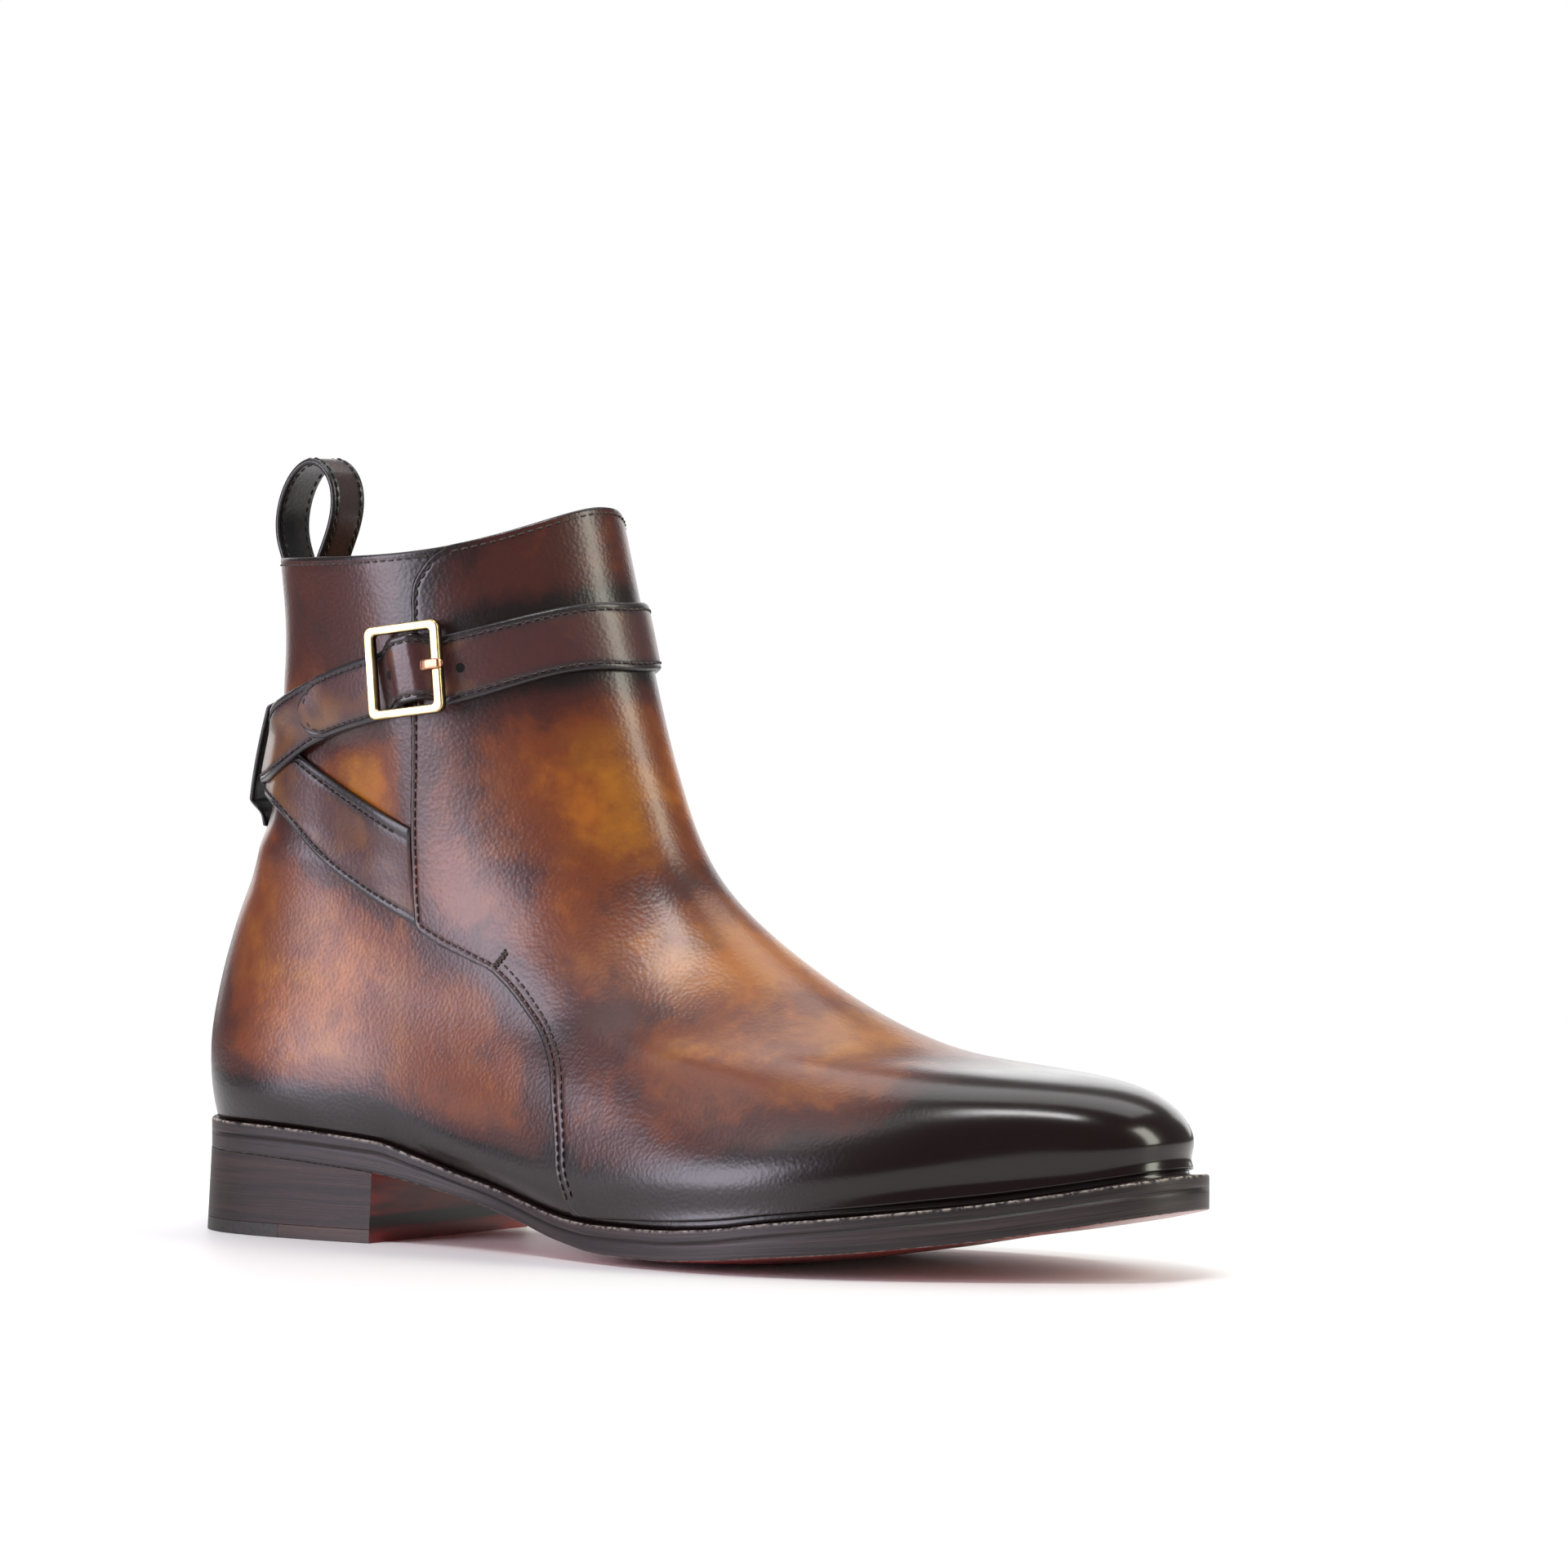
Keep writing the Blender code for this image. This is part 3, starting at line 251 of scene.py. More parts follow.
def bends(knots, rows, clamped=False):
    """Second derivatives at the knots of the cubic spline through rows of values."""
    h = np.diff(knots)
    n = len(knots)
    a = np.zeros((n, n))
    b = np.zeros_like(rows)
    slope = np.diff(rows, axis=0) / h[:, None]
    for i in range(1, n - 1):
        a[i, i - 1:i + 2] = h[i - 1], 2.0 * (h[i - 1] + h[i]), h[i]
        b[i] = 6.0 * (slope[i] - slope[i - 1])
    if clamped:
        a[0, :2] = 2.0 * h[0], h[0]
        a[-1, -2:] = h[-1], 2.0 * h[-1]
        b[0] = 6.0 * slope[0]
        b[-1] = -6.0 * slope[-1]
    else:
        a[0, 0] = a[-1, -1] = 1.0
    return np.linalg.solve(a, b)


def cubic(knots, i, at, values, curves):
    """Spline in its pieces i, from the values and second derivatives at both ends of each piece."""
    d0 = (at - knots[i])[:, None]
    d1 = (knots[i + 1] - at)[:, None]
    h = np.diff(knots)[i][:, None]
    out = (curves[0] * d1 ** 3 + curves[1] * d0 ** 3) / (6.0 * h)
    return out + (values[0] / h - curves[0] * h / 6.0) * d1 + (values[1] / h - curves[1] * h / 6.0) * d0


def spline(knots, values, at, clamped=False):
    """Cubic spline through the values: flat ends when clamped, straight ends otherwise."""
    k = np.asarray(knots, float)
    y = np.asarray(values, float)
    rows = y.reshape(len(k), -1)
    m = bends(k, rows, clamped)
    t = np.atleast_1d(np.asarray(at, float))
    i = np.clip(np.searchsorted(k, t) - 1, 0, len(k) - 2)
    return cubic(k, i, t, (rows[i], rows[i + 1]), (m[i], m[i + 1])).reshape((len(t),) + y.shape[1:])


def easy(rows, column, at):
    """Smooth curve through one column of a table that never passes its own values."""
    k = column_of(rows, 0)
    y = column_of(rows, column)
    h = np.diff(k)
    s = np.diff(y) / h
    m = np.zeros(len(k))
    same = s[:-1] * s[1:] > 0
    w1 = 2 * h[1:] + h[:-1]
    w2 = h[1:] + 2 * h[:-1]
    safe = np.where(same, w1 / np.where(same, s[:-1], 1) + w2 / np.where(same, s[1:], 1), 1)
    m[1:-1] = np.where(same, (w1 + w2) / safe, 0)
    m[0] = s[0]
    m[-1] = s[-1]
    t = np.clip(np.asarray(at, float), k[0], k[-1])
    i = np.clip(np.searchsorted(k, t) - 1, 0, len(k) - 2)
    u = (t - k[i]) / h[i]
    return (y[i] * (1 + 2 * u) * (1 - u) ** 2 + m[i] * h[i] * u * (1 - u) ** 2
            + y[i + 1] * u * u * (3 - 2 * u) + m[i + 1] * h[i] * u * u * (u - 1))


def smooth(x, a, b):
    """Goes from 0 at a to 1 at b along 3u^2 - 2u^3."""
    u = np.clip((np.asarray(x, float) - a) / (b - a), 0, 1)
    return u * u * (3 - 2 * u)


def bell(x, middle_at, reach):
    """A bell of height 1: exp(-((x - middle) / reach)^2)."""
    return np.exp(-((np.asarray(x, float) - middle_at) / reach) ** 2)


def middle(x):
    """Shift of the boot's middle line to the inner side."""
    share = np.clip(np.asarray(x, float) / SOLE_LENGTH, 0, 1)
    shift = spline(column_of(MIDDLE, 0), column_of(MIDDLE, 1), share.ravel(), True)
    return BALL_WIDTH * shift.reshape(share.shape)


def column_of(rows, column):
    """One column of a table."""
    return np.array([row[column] for row in rows], float)


def folded(theta):
    """Angle from the back line by the nearer side, and whether it is the outer side."""
    t = np.asarray(theta, float) % TURN
    outer = t <= np.pi
    return np.where(outer, t, TURN - t), outer


def unit(ways):
    """Directions brought to length 1."""
    return ways / np.linalg.norm(ways, axis=-1)[..., None]


def length_along(path):
    """Distance from the start of a path to each of its points."""
    return np.concatenate([[0], np.cumsum(np.linalg.norm(np.diff(path, axis=0), axis=1))])


def outline(theta):
    """Sole outline: x = half * (1 - cos a), y = middle -+ width(a) * sin a.

    The angle a is 0 at the back and pi at the toe."""
    half = SOLE_LENGTH / 2.0
    a, outer = folded(theta)
    x = half * (1 - np.cos(a))
    st = column_of(OUTLINE, 0)
    ang = np.arccos(1 - 2 * st)
    mid = middle(st * SOLE_LENGTH)
    knots = np.concatenate([[0], ang, [np.pi]])
    widths = []
    for column, sign in ((1, 1.0), (2, -1.0)):
        w = (column_of(OUTLINE, column) * BALL_WIDTH + sign * mid) / np.sin(ang)
        w = np.concatenate([[np.sqrt(HEEL_RADIUS * half)], w, [np.sqrt(TOE_RADIUS * half)]])
        widths.append(spline(knots, w, a.ravel(), True).reshape(a.shape))
    y = middle(x) + np.where(outer, -widths[0], widths[1]) * np.sin(a)
    return x, y


def inward(theta, distance):
    """Sole outline moved inward, at right angles to itself, by a distance."""
    step = 1e-3
    x, y = outline(theta)
    x1, y1 = outline(np.asarray(theta) + step)
    x0, y0 = outline(np.asarray(theta) - step)
    dx = x1 - x0
    dy = y1 - y0
    n = np.hypot(dx, dy)
    return x - dy / n * distance, y + dx / n * distance


def inset(theta):
    """Width of the welt beyond the upper."""
    return WELT_SHOW * easy(INSET, 1, np.degrees(folded(theta)[0]))


def edge_low(x):
    """Height of the sole's lower edge."""
    return HEEL_HEIGHT * easy(EDGE, 1, np.asarray(x) / SOLE_LENGTH)


def edge_top(x):
    """Height of the sole's upper edge."""
    return edge_low(x) + EDGE_THICKNESS * easy(EDGE, 2, np.asarray(x) / SOLE_LENGTH)


def fall(x):
    """How much lower the middle of the sole's underside is than its edge."""
    return HEEL_HEIGHT * easy(EDGE, 3, np.asarray(x) / SOLE_LENGTH)


def welt_thick(x):
    """Welt thickness, thinner at the waist."""
    waist = (np.asarray(x) / SOLE_LENGTH - 0.381) / 0.1325
    return WELT_THICK - WAIST_THINNING * np.exp(-waist ** 2)


def feather_z(x):
    """Height where the upper leaves the welt."""
    return edge_top(x) + GAP


def control_loops(theta):
    """The upper's rings as points, one loop per level."""
    a, outer = folded(theta)
    s = (1 - np.cos(a)) / 2.0
    fx, fy = inward(theta, inset(theta))
    loops = [np.stack([fx, fy, feather_z(fx)], -1)]
    z_back = float(feather_z(0.0))
    z_front = float(feather_z(SOLE_LENGTH))
    for level, bx, bz, tx, tz, follow, power, rb, rf, outs, ins in RINGS:
        half = (tx - bx) * SOLE_LENGTH / 2.0
        x = bx * SOLE_LENGTH + 2 * half * s
        widths = []
        for row, sign in ((outs, 1.0), (ins, -1.0)):
            inner = STATIONS[1:-1]
            xs = bx * SOLE_LENGTH + half * (1 - np.cos(inner))
            w = (np.array(row) * BALL_WIDTH + sign * middle(xs)) / np.sin(inner)
            ends = np.sqrt(np.array([rb, rf]) * BALL_WIDTH * half)
            w = np.concatenate([ends[:1], w, ends[1:]])
            widths.append(spline(STATIONS, w, a, True))
        y = middle(x) + np.where(outer, -widths[0], widths[1]) * np.sin(a)
        sx = np.clip(x / SOLE_LENGTH, 0, 1)
        dip = feather_z(x) - (z_back + (z_front - z_back) * sx)
        z = (bz + (tz - bz) * s ** power) * BOOT_HEIGHT + follow * dip
        z = z - np.where(outer, 0.0, COLLAR_DIP * level ** 6 * np.sin(a) ** 2)
        loops.append(np.stack([x, y, z], -1))
    return np.array(loops)


def surface(theta, level):
    """Outer face of the upper: a cubic spline over the levels through the rings' points at each angle."""
    t, v = np.broadcast_arrays(np.asarray(theta, float), np.asarray(level, float))
    shape = t.shape
    t = t.ravel()
    v = v.ravel()
    loops = control_loops(t)
    n = len(LEVELS)
    m = bends(LEVELS, loops.reshape(n, -1)).reshape(n, -1, 3)
    i = np.clip(np.searchsorted(LEVELS, v) - 1, 0, n - 2)
    j = np.arange(len(t))
    p = cubic(LEVELS, i, v, (loops[i, j], loops[i + 1, j]), (m[i, j], m[i + 1, j]))
    return p.reshape(shape + (3,))


def tangents(theta, level):
    """Steps of the surface per radian and per level."""
    e = 1e-3
    up = np.minimum(level + e, 1)
    down = np.maximum(level - e, 0)
    du = (surface(theta + e, level) - surface(theta - e, level)) / (2 * e)
    dv = (surface(theta, up) - surface(theta, down)) / (up - down)[..., None]
    return du, dv


def normal(theta, level):
    """Outward direction of the surface: the level step crossed with the angle step."""
    du, dv = tangents(np.asarray(theta, float), np.asarray(level, float))
    return unit(np.cross(du, dv))


def raised(theta, level, height):
    """Point at a height above the upper's outer face."""
    theta, level, height = np.broadcast_arrays(theta, level, height)
    return surface(theta, level) + normal(theta, level) * np.asarray(height, float)[..., None]


def beside(theta, level, distance):
    """Surface curve moved sideways in the surface by a distance, to the left of its run."""
    du, dv = tangents(theta, level)
    p = surface(theta, level)
    side = unit(np.cross(np.cross(du, dv), np.gradient(p, axis=0))) * np.asarray(distance)[..., None]
    uu = np.sum(du * du, -1)
    uv = np.sum(du * dv, -1)
    vv = np.sum(dv * dv, -1)
    su = np.sum(side * du, -1)
    sv = np.sum(side * dv, -1)
    det = uu * vv - uv * uv
    return theta + (su * vv - sv * uv) / det, level + (sv * uu - su * uv) / det


def seam_angle(level, inner):
    """Angle of the front panel's rear edge, in radians."""
    a = np.radians(easy(SEAM, 2 if inner else 1, level))
    return TURN - a if inner else a


def strap_edges(low_side):
    """A strap's upper and lower edge as running angle and level, from its seam round the back to its end."""
    rows = [(ua * low_side, ul, la * low_side, ll) for ua, ul, la, ll in STRAP_LOW]
    rows += [(-a * low_side, up, -a * low_side, lo) for a, up, lo in STRAP_HIGH]
    rows += [(-(360 - a) * low_side, up, -(360 - a) * low_side, lo)
             for a, up, lo in STRAP_HIGH[-2::-1] if a >= 42]
    return np.array(rows)


def strap_at(low_side, turn):
    """The four edge values of a strap at running angles."""
    rows = strap_edges(low_side)
    rows = rows[np.argsort(rows[:, 0] + rows[:, 2])]
    return spline((rows[:, 0] + rows[:, 2]) / 2, rows, turn)


def across(e, share):
    """Angle in radians and level at a share of a strap's width, from its upper to its lower edge."""
    angle, level = (e[..., i] * (1 - share) + e[..., i + 2] * share for i in (0, 1))
    return np.radians(angle), level


def strap_middle(e):
    """Points along the middle of a strap."""
    return surface(*across(e, 0.5))


def from_back(a):
    """Degrees from the back line, the short way."""
    return np.abs((np.asarray(a) + 180) % 360 - 180)


def over_stay(a):
    """One where a strap lies on the back stay."""
    return 1 - smooth(from_back(a), 19, 34)


def over_cross(a):
    """One where the buckle's strap lies on the other strap."""
    return 1 - smooth(from_back(a), 52, 68)


def over_panel(a):
    """One where a strap lies on the front panel."""
    return smooth(from_back(a), 88, 95.5)


def buckle_lift(a):
    """Height of the buckle's strap above the upper."""
    return REST + (STRAP_THICK + REST) * over_cross(a) + STAY_TOP * over_stay(a)


def long_lift(a):
    """Height of the long strap above the upper, with its hump in the buckle."""
    a = np.asarray(a)
    start = REST + STAY_TOP * over_stay(a) + (PANEL_THICK + PANEL_GAP) * over_panel(a) * (a < -60)
    turned = a + 360
    end = buckle_lift(turned) + STRAP_THICK + REST
    blend = 1 - smooth(turned, 95, 102)
    body = start * (1 - blend) + end * blend
    bump = smooth(turned, 91.5, 98) * (1 - smooth(turned, 102, 108.5))
    body = body + bump * (STRAP_HUMP - body)
    return np.where(a < -200, body, start)


def pinch(theta, level):
    """How far the straps draw the leather in beside the back line, in millimetres."""
    a = from_back(np.degrees(theta))
    beside_back = smooth(a, 9, 27) * (1 - smooth(a, 58, 92))
    ankle = 0.9 * smooth(level, 0.36, 0.50) * (1 - smooth(level, 0.76, 0.84))
    tight = 2.2 * smooth(level, 0.555, 0.625) * (1 - smooth(level, 0.735, 0.80))
    return (ankle + tight) * beside_back


def strap_top(low_side, turn):
    """A strap's thickness at running angles: it is skived down where it goes under the front panel."""
    return STRAP_THICK * (1 - 0.45 * smooth(np.asarray(turn) * low_side, 76, 85.5))


def buckle_place():
    """Middle of the buckle, its directions along the strap, up and out, and the strap's out."""
    e = strap_at(-1.0, np.array([BUCKLE_ANGLE - 6, BUCKLE_ANGLE, BUCKLE_ANGLE + 6]))
    c = strap_middle(e)
    out = normal(np.radians(BUCKLE_ANGLE), (e[1][1] + e[1][3]) / 2)
    along = c[2] - c[0]
    along = unit(along - out * np.dot(along, out))
    up = np.cross(out, along)
    if up[2] < 0:
        up = -up
    turn, lean = np.radians([BUCKLE_TURN, BUCKLE_LEAN])
    turned = along * np.cos(turn) + up * np.sin(turn)
    flat_up = up * np.cos(turn) - along * np.sin(turn)
    return (c[1] + BUCKLE_RISE * up, turned, flat_up * np.cos(lean) - out * np.sin(lean),
            out * np.cos(lean) + flat_up * np.sin(lean), out)


# Meshes

def make(name, points, quads, materials, node=None, slot=None, caps=(), faces_of=None, values=None, uv=None,
         merge=False):
    """Closed mesh from points in millimetres, quads and cap loops, riding on the boot in its node's place.

    The faces look outward: where the signed volume of the quads is negative, they are turned."""
    pts = np.array(points, float).reshape(-1, 3)
    pts[:, 0] -= ORIGIN_X
    pts *= MM
    quads = np.asarray(quads, np.int64).reshape(-1, 4)
    a, b, c, d = (pts[quads[:, i]] for i in range(4))
    if np.sum(np.cross(b - a, c - a) * a) + np.sum(np.cross(c - a, d - a) * a) < 0:
        quads = quads[:, ::-1]
        caps = [tuple(reversed(cap)) for cap in caps]
    mesh = bpy.data.meshes.new(name)
    loops = np.concatenate([quads.ravel()] + [np.asarray(c) for c in caps])
    starts = np.concatenate([np.arange(len(quads)) * 4,
                             len(quads) * 4 + np.cumsum([0] + [len(c) for c in caps])[:-1]]).astype(np.int32)
    mesh.vertices.add(len(pts))
    mesh.vertices.foreach_set("co", pts.ravel())
    mesh.loops.add(len(loops))
    mesh.loops.foreach_set("vertex_index", loops.astype(np.int32))
    mesh.polygons.add(len(starts))
    mesh.polygons.foreach_set("loop_start", starts)
    mesh.update(calc_edges=True)
    mesh.validate()
    for m in materials:
        mesh.materials.append(m)
    if faces_of is not None:
        pick = np.zeros(len(mesh.polygons), np.int32)
        pick[:len(faces_of)] = faces_of
        mesh.polygons.foreach_set("material_index", pick)
    for key, value in (values or {}).items():
        layer = mesh.attributes.new(key, "FLOAT", "POINT")
        layer.data.foreach_set("value", np.broadcast_to(np.ravel(value), (len(pts),)).astype(np.float32))
    if uv is not None:
        layer = mesh.uv_layers.new(name="run")
        layer.uv.foreach_set("vector", (np.reshape(uv, (-1, 2)) * MM).astype(np.float32)[loops].ravel())
    if merge:
        bm = bmesh.new()
        bm.from_mesh(mesh)
        bmesh.ops.remove_doubles(bm, verts=bm.verts, dist=1e-7)
        bm.to_mesh(mesh)
        bm.free()
    mesh.shade_smooth()
    ob = bpy.data.objects.new(name, mesh)
    bpy.context.scene.collection.objects.link(ob)
    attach(ob, "root")
    if node:
        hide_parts(node)
    return ob


def grid_quads(rows, cols, ring_rows=False, ring_cols=False):
    """Quads of a grid of points, joined round in either direction."""
    i = np.arange(rows if ring_rows else rows - 1)[:, None]
    j = np.arange(cols if ring_cols else cols - 1)[None, :]
    i2 = (i + 1) % rows
    j2 = (j + 1) % cols
    return np.stack([i * cols + j, i2 * cols + j, i2 * cols + j2, i * cols + j2], -1).reshape(-1, 4)


def tube(name, grid, materials, **more):
    """Closed loops of points carried along a path, with a flat cap at each end."""
    n, k = grid.shape[:2]
    caps = [tuple(range(k))[::-1], tuple(range((n - 1) * k, n * k))]
    return make(name, grid, grid_quads(n, k, ring_cols=True), materials, caps=caps, **more)


def shell(name, outer, inner, materials, ring=False, values=None, **more):
    """Two matching grids of points joined at their borders; a ring joins its rows round."""
    n, k = outer.shape[:2]
    count = n * k
    q = grid_quads(n, k, ring_rows=ring)
    quads = [q, q[:, ::-1] + count]
    rows = np.arange(n if ring else n - 1)
    for j, turn in ((0, 1), (k - 1, -1)):
        a = rows * k + j
        b = ((rows + 1) % n) * k + j
        quads.append(np.stack([a, a + count, b + count, b], -1)[:, ::turn])
    if not ring:
        cols = np.arange(k - 1)
        for i, turn in ((0, -1), (n - 1, 1)):
            a = i * k + cols
            quads.append(np.stack([a, a + count, a + 1 + count, a + 1], -1)[:, ::turn])
    values = {key: np.concatenate([v, v]) for key, v in (values or {}).items()}
    return make(name, np.concatenate([outer, inner]), np.concatenate(quads), materials, values=values, **more)


def band_profile(half, thick, groove=1.9, deep=0.2, crown=0.1):
    """Closed section of a folded band: half-round edges, a stitch groove near each edge, a slight crown.

    Top height is thick + crown * (1 - (y / half)^2) - deep * bell(edge distance)."""
    r = thick / 2
    turn = np.radians(np.linspace(-90, 90, 9))
    d = np.array([1.15 * r, 1.3, 1.55, 1.75, 1.9, 2.05, 2.25, 2.6, 3.3, 4.6])
    d = np.sort(np.concatenate([d[d > r], np.linspace(5.5, half, 4)[:3]])) if half > 6 else d[d > r]
    d = d[d < half]
    right_y = half - r + r * np.cos(turn)
    right_h = r + r * np.sin(turn)
    top_y = half - d
    top_y = np.concatenate([top_y, [0.0], -top_y[::-1]])
    edge = half - np.abs(top_y)
    top_h = np.full(len(top_y), thick) + crown * (1 - (top_y / half) ** 2) - deep * bell(edge, groove, 0.45)
    low_y = np.array([-half + 2.5, 0.0, half - 2.5])
    y = np.concatenate([right_y, top_y, -right_y[::-1], low_y])
    h = np.concatenate([right_h, top_h, right_h[::-1], np.zeros(3)])
    return y, h


def stitches(name, path, up, pitch, length, width):
    """Threads along a path: each is a thin capsule that dips at both ends.

    Along a stitch, height = arch * (1 - u^4) for u from -1 to 1, and the radius shrinks to its ends."""
    d = length_along(path)
    count = max(int(d[-1] / pitch), 1)
    at = (np.arange(count) + 0.5) * d[-1] / count
    u = np.array([-1.0, -0.82, -0.4, 0.0, 0.4, 0.82, 1.0])
    s = at[:, None] + u[None, :] * length / 2
    centre = np.stack([np.interp(s, d, path[:, i]) for i in range(3)], -1)
    out = unit(np.stack([np.interp(s, d, up[:, i]) for i in range(3)], -1))
    side = unit(np.cross(out, unit(centre[:, -1] - centre[:, 0])[:, None, :]))
    centre = centre + out * (width * (0.30 - 0.75 * u ** 4))[None, :, None]
    radius = width / 2 * np.sqrt(np.maximum(1 - 0.9 * u ** 4, 0.05))
    turn = np.linspace(0, TURN, 7)[:-1]
    ring = (side[:, :, None, :] * np.cos(turn)[:, None] + out[:, :, None, :] * np.sin(turn)[:, None] * 0.8)
    pts = centre[:, :, None, :] + ring * radius[None, :, None, None]
    n, k, m = pts.shape[:3]
    one = grid_quads(k, m, ring_cols=True)
    quads = (one[None] + (np.arange(n) * k * m)[:, None, None]).reshape(-1, 4)
    caps = []
    for i in range(n):
        caps.append(tuple(range(i * k * m, i * k * m + m))[::-1])
        caps.append(tuple(range(i * k * m + (k - 1) * m, i * k * m + k * m)))
    return make(name, pts, quads, [finish_of("waxed_thread")], caps=caps, slot="strap_leather")


# Materials

def put(tree, made, inputs):
    """Sets a node's inputs, and links those that are sockets."""
    for key, value in inputs.items():
        if isinstance(value, bpy.types.NodeSocket):
            tree.links.new(value, made.inputs[key])
        else:
            made.inputs[key].default_value = value


def node(tree, kind, inputs=None, **settings):
    """Adds one node with its settings and its inputs."""
    made = tree.nodes.new(kind)
    for key, value in settings.items():
        setattr(made, key, value)
    put(tree, made, inputs or {})
    return made


def noise(tree, at, scale, detail, **more):
    """Noise of a scale in cells per metre; more gives its roughness and distortion."""
    inputs = {"Vector": at, "Scale": scale, "Detail": detail}
    inputs.update({key.title(): value for key, value in more.items()})
    return node(tree, "ShaderNodeTexNoise", inputs).outputs["Fac"]


def remap(tree, value, a, b, low=0.0, high=1.0):
    """A value taken from the range a to b to the range low to high, and held at its ends."""
    return node(tree, "ShaderNodeMapRange", {"Value": value, "From Min": a, "From Max": b, "To Min": low,
                                             "To Max": high}).outputs[0]


def sums(tree, operation, *values, clamp=False):
    """One step of arithmetic on values and sockets."""
    made = node(tree, "ShaderNodeMath", dict(enumerate(values)), operation=operation, use_clamp=clamp)
    return made.outputs[0]


def stretched(tree, at, *scale):
    """Coordinates scaled on each axis."""
    return node(tree, "ShaderNodeMapping", {"Vector": at, "Scale": scale}).outputs[0]


def painted(tree, share, colour, code):
    """A colour with another, in hex, laid over it by a share."""
    return node(tree, "ShaderNodeMix", {"Factor": share, 6: colour, 7: (*hue(code), 1)},
                data_type="RGBA").outputs[2]


def attribute(tree, name):
    """The piece's own value of that name."""
    return node(tree, "ShaderNodeAttribute", attribute_name=name).outputs["Fac"]


def relief(tree, *layers):
    """Bumps laid on one another: each has its height, its depth in metres and its strength."""
    under = {}
    for height, depth, strength in layers:
        inputs = {"Height": height, "Distance": depth, "Strength": strength, **under}
        made = node(tree, "ShaderNodeBump", inputs)
        under = {"Normal": made.outputs[0]}
    return made.outputs[0]


def blank(name):
    """A node material with its shader, and the object's own coordinates."""
    m = bpy.data.materials.new(name)
    m.use_nodes = True
    tree = m.node_tree
    shader = tree.nodes["Principled BSDF"]
    place = node(tree, "ShaderNodeTexCoord").outputs["Object"]
    return m, tree, shader, place


def ramp(tree, fac, stops):
    """Colour ramp through pairs of share and hex colour or grey."""
    made = node(tree, "ShaderNodeValToRGB", {0: fac})
    band = made.color_ramp
    band.interpolation = "EASE"
    while len(band.elements) < len(stops):
        band.elements.new(0.5)
    for element, (at, colour) in zip(band.elements, stops):
        element.position = at
        c = (colour,) * 3 if isinstance(colour, (int, float)) else hue(colour)
        element.color = (*c, 1.0)
    return made.outputs[0]


def burnished_calf(name, stops, rough, coat, mottle):
    """Aniline calf, hand-coloured with dye and wax: cloudy golden brown, almost black where it was rubbed.

    An attribute of the piece says how dark it is, rubbed dark in places, with painted shade beside the straps
    and a painted sheen between them; gloss says how mirror-like the wax is."""
    m, tree, shader, place = blank(name)
    gloss = attribute(tree, "gloss")
    # clouds of dye about 30 mm across, and dabs of the rag about 9 mm across
    clouds = noise(tree, place, 34.0, 6.0, roughness=0.62, distortion=0.5)
    dabs = noise(tree, place, 115.0, 4.0, roughness=0.6)
    wide = sums(tree, "MULTIPLY_ADD", clouds, mottle, -mottle / 2)
    fine = sums(tree, "MULTIPLY_ADD", dabs, mottle * 0.5, wide)
    total = sums(tree, "ADD", fine, attribute(tree, "burnish"), clamp=True)
    # ochre light through the dye where it is thin
    thin = remap(tree, noise(tree, place, 62.0, 2.0, roughness=0.5, distortion=0.4), 0.46, 0.66, 0.0, 0.45)
    thin = sums(tree, "MULTIPLY", thin, remap(tree, total, 0.3, 0.62, 1.0, 0.0))
    uneven = sums(tree, "MULTIPLY_ADD", dabs, 0.10, remap(tree, gloss, 0.0, 1.0, rough, 0.19))
    # calf grain: cells about 1 mm across, drawn a little coarser than life to show, over faint wrinkles
    cells = node(tree, "ShaderNodeTexVoronoi", {"Vector": place, "Scale": 950.0, "Smoothness": 0.6},
                 feature="SMOOTH_F1").outputs["Distance"]
    wrinkle = noise(tree, place, 420.0, 3.0, distortion=0.8)
    still = remap(tree, gloss, 0.0, 0.9, 1.0, 0.08)
    # mirror wax fills the grain, so the dark toe shines in its lights alone
    put(tree, shader, {"Base Color": painted(tree, thin, ramp(tree, total, stops), "#A06C1C"),
                       "Roughness": sums(tree, "ADD", uneven, -0.05),
                       "Specular IOR Level": remap(tree, gloss, 0.0, 0.9, 0.5, 0.34),
                       "Normal": relief(tree, (cells, 0.00007, still), (wrinkle, 0.000035, still)),
                       "IOR": 1.5, "Coat Weight": coat, "Coat Roughness": 0.22})
    return m


def plain_leather(name, light, dark, rough):
    """Vegetable-tanned lining or sole leather: even, matt, with soft cloudy tone and a fine nap."""
    m, tree, shader, place = blank(name)
    tone = noise(tree, place, 60.0, 5.0)
    put(tree, shader, {"Base Color": ramp(tree, tone, [(0.3, dark), (0.7, light)]), "Roughness": rough,
                       "Normal": relief(tree, (noise(tree, place, 900.0, 3.0), 0.00003, 1.0))})
    return m


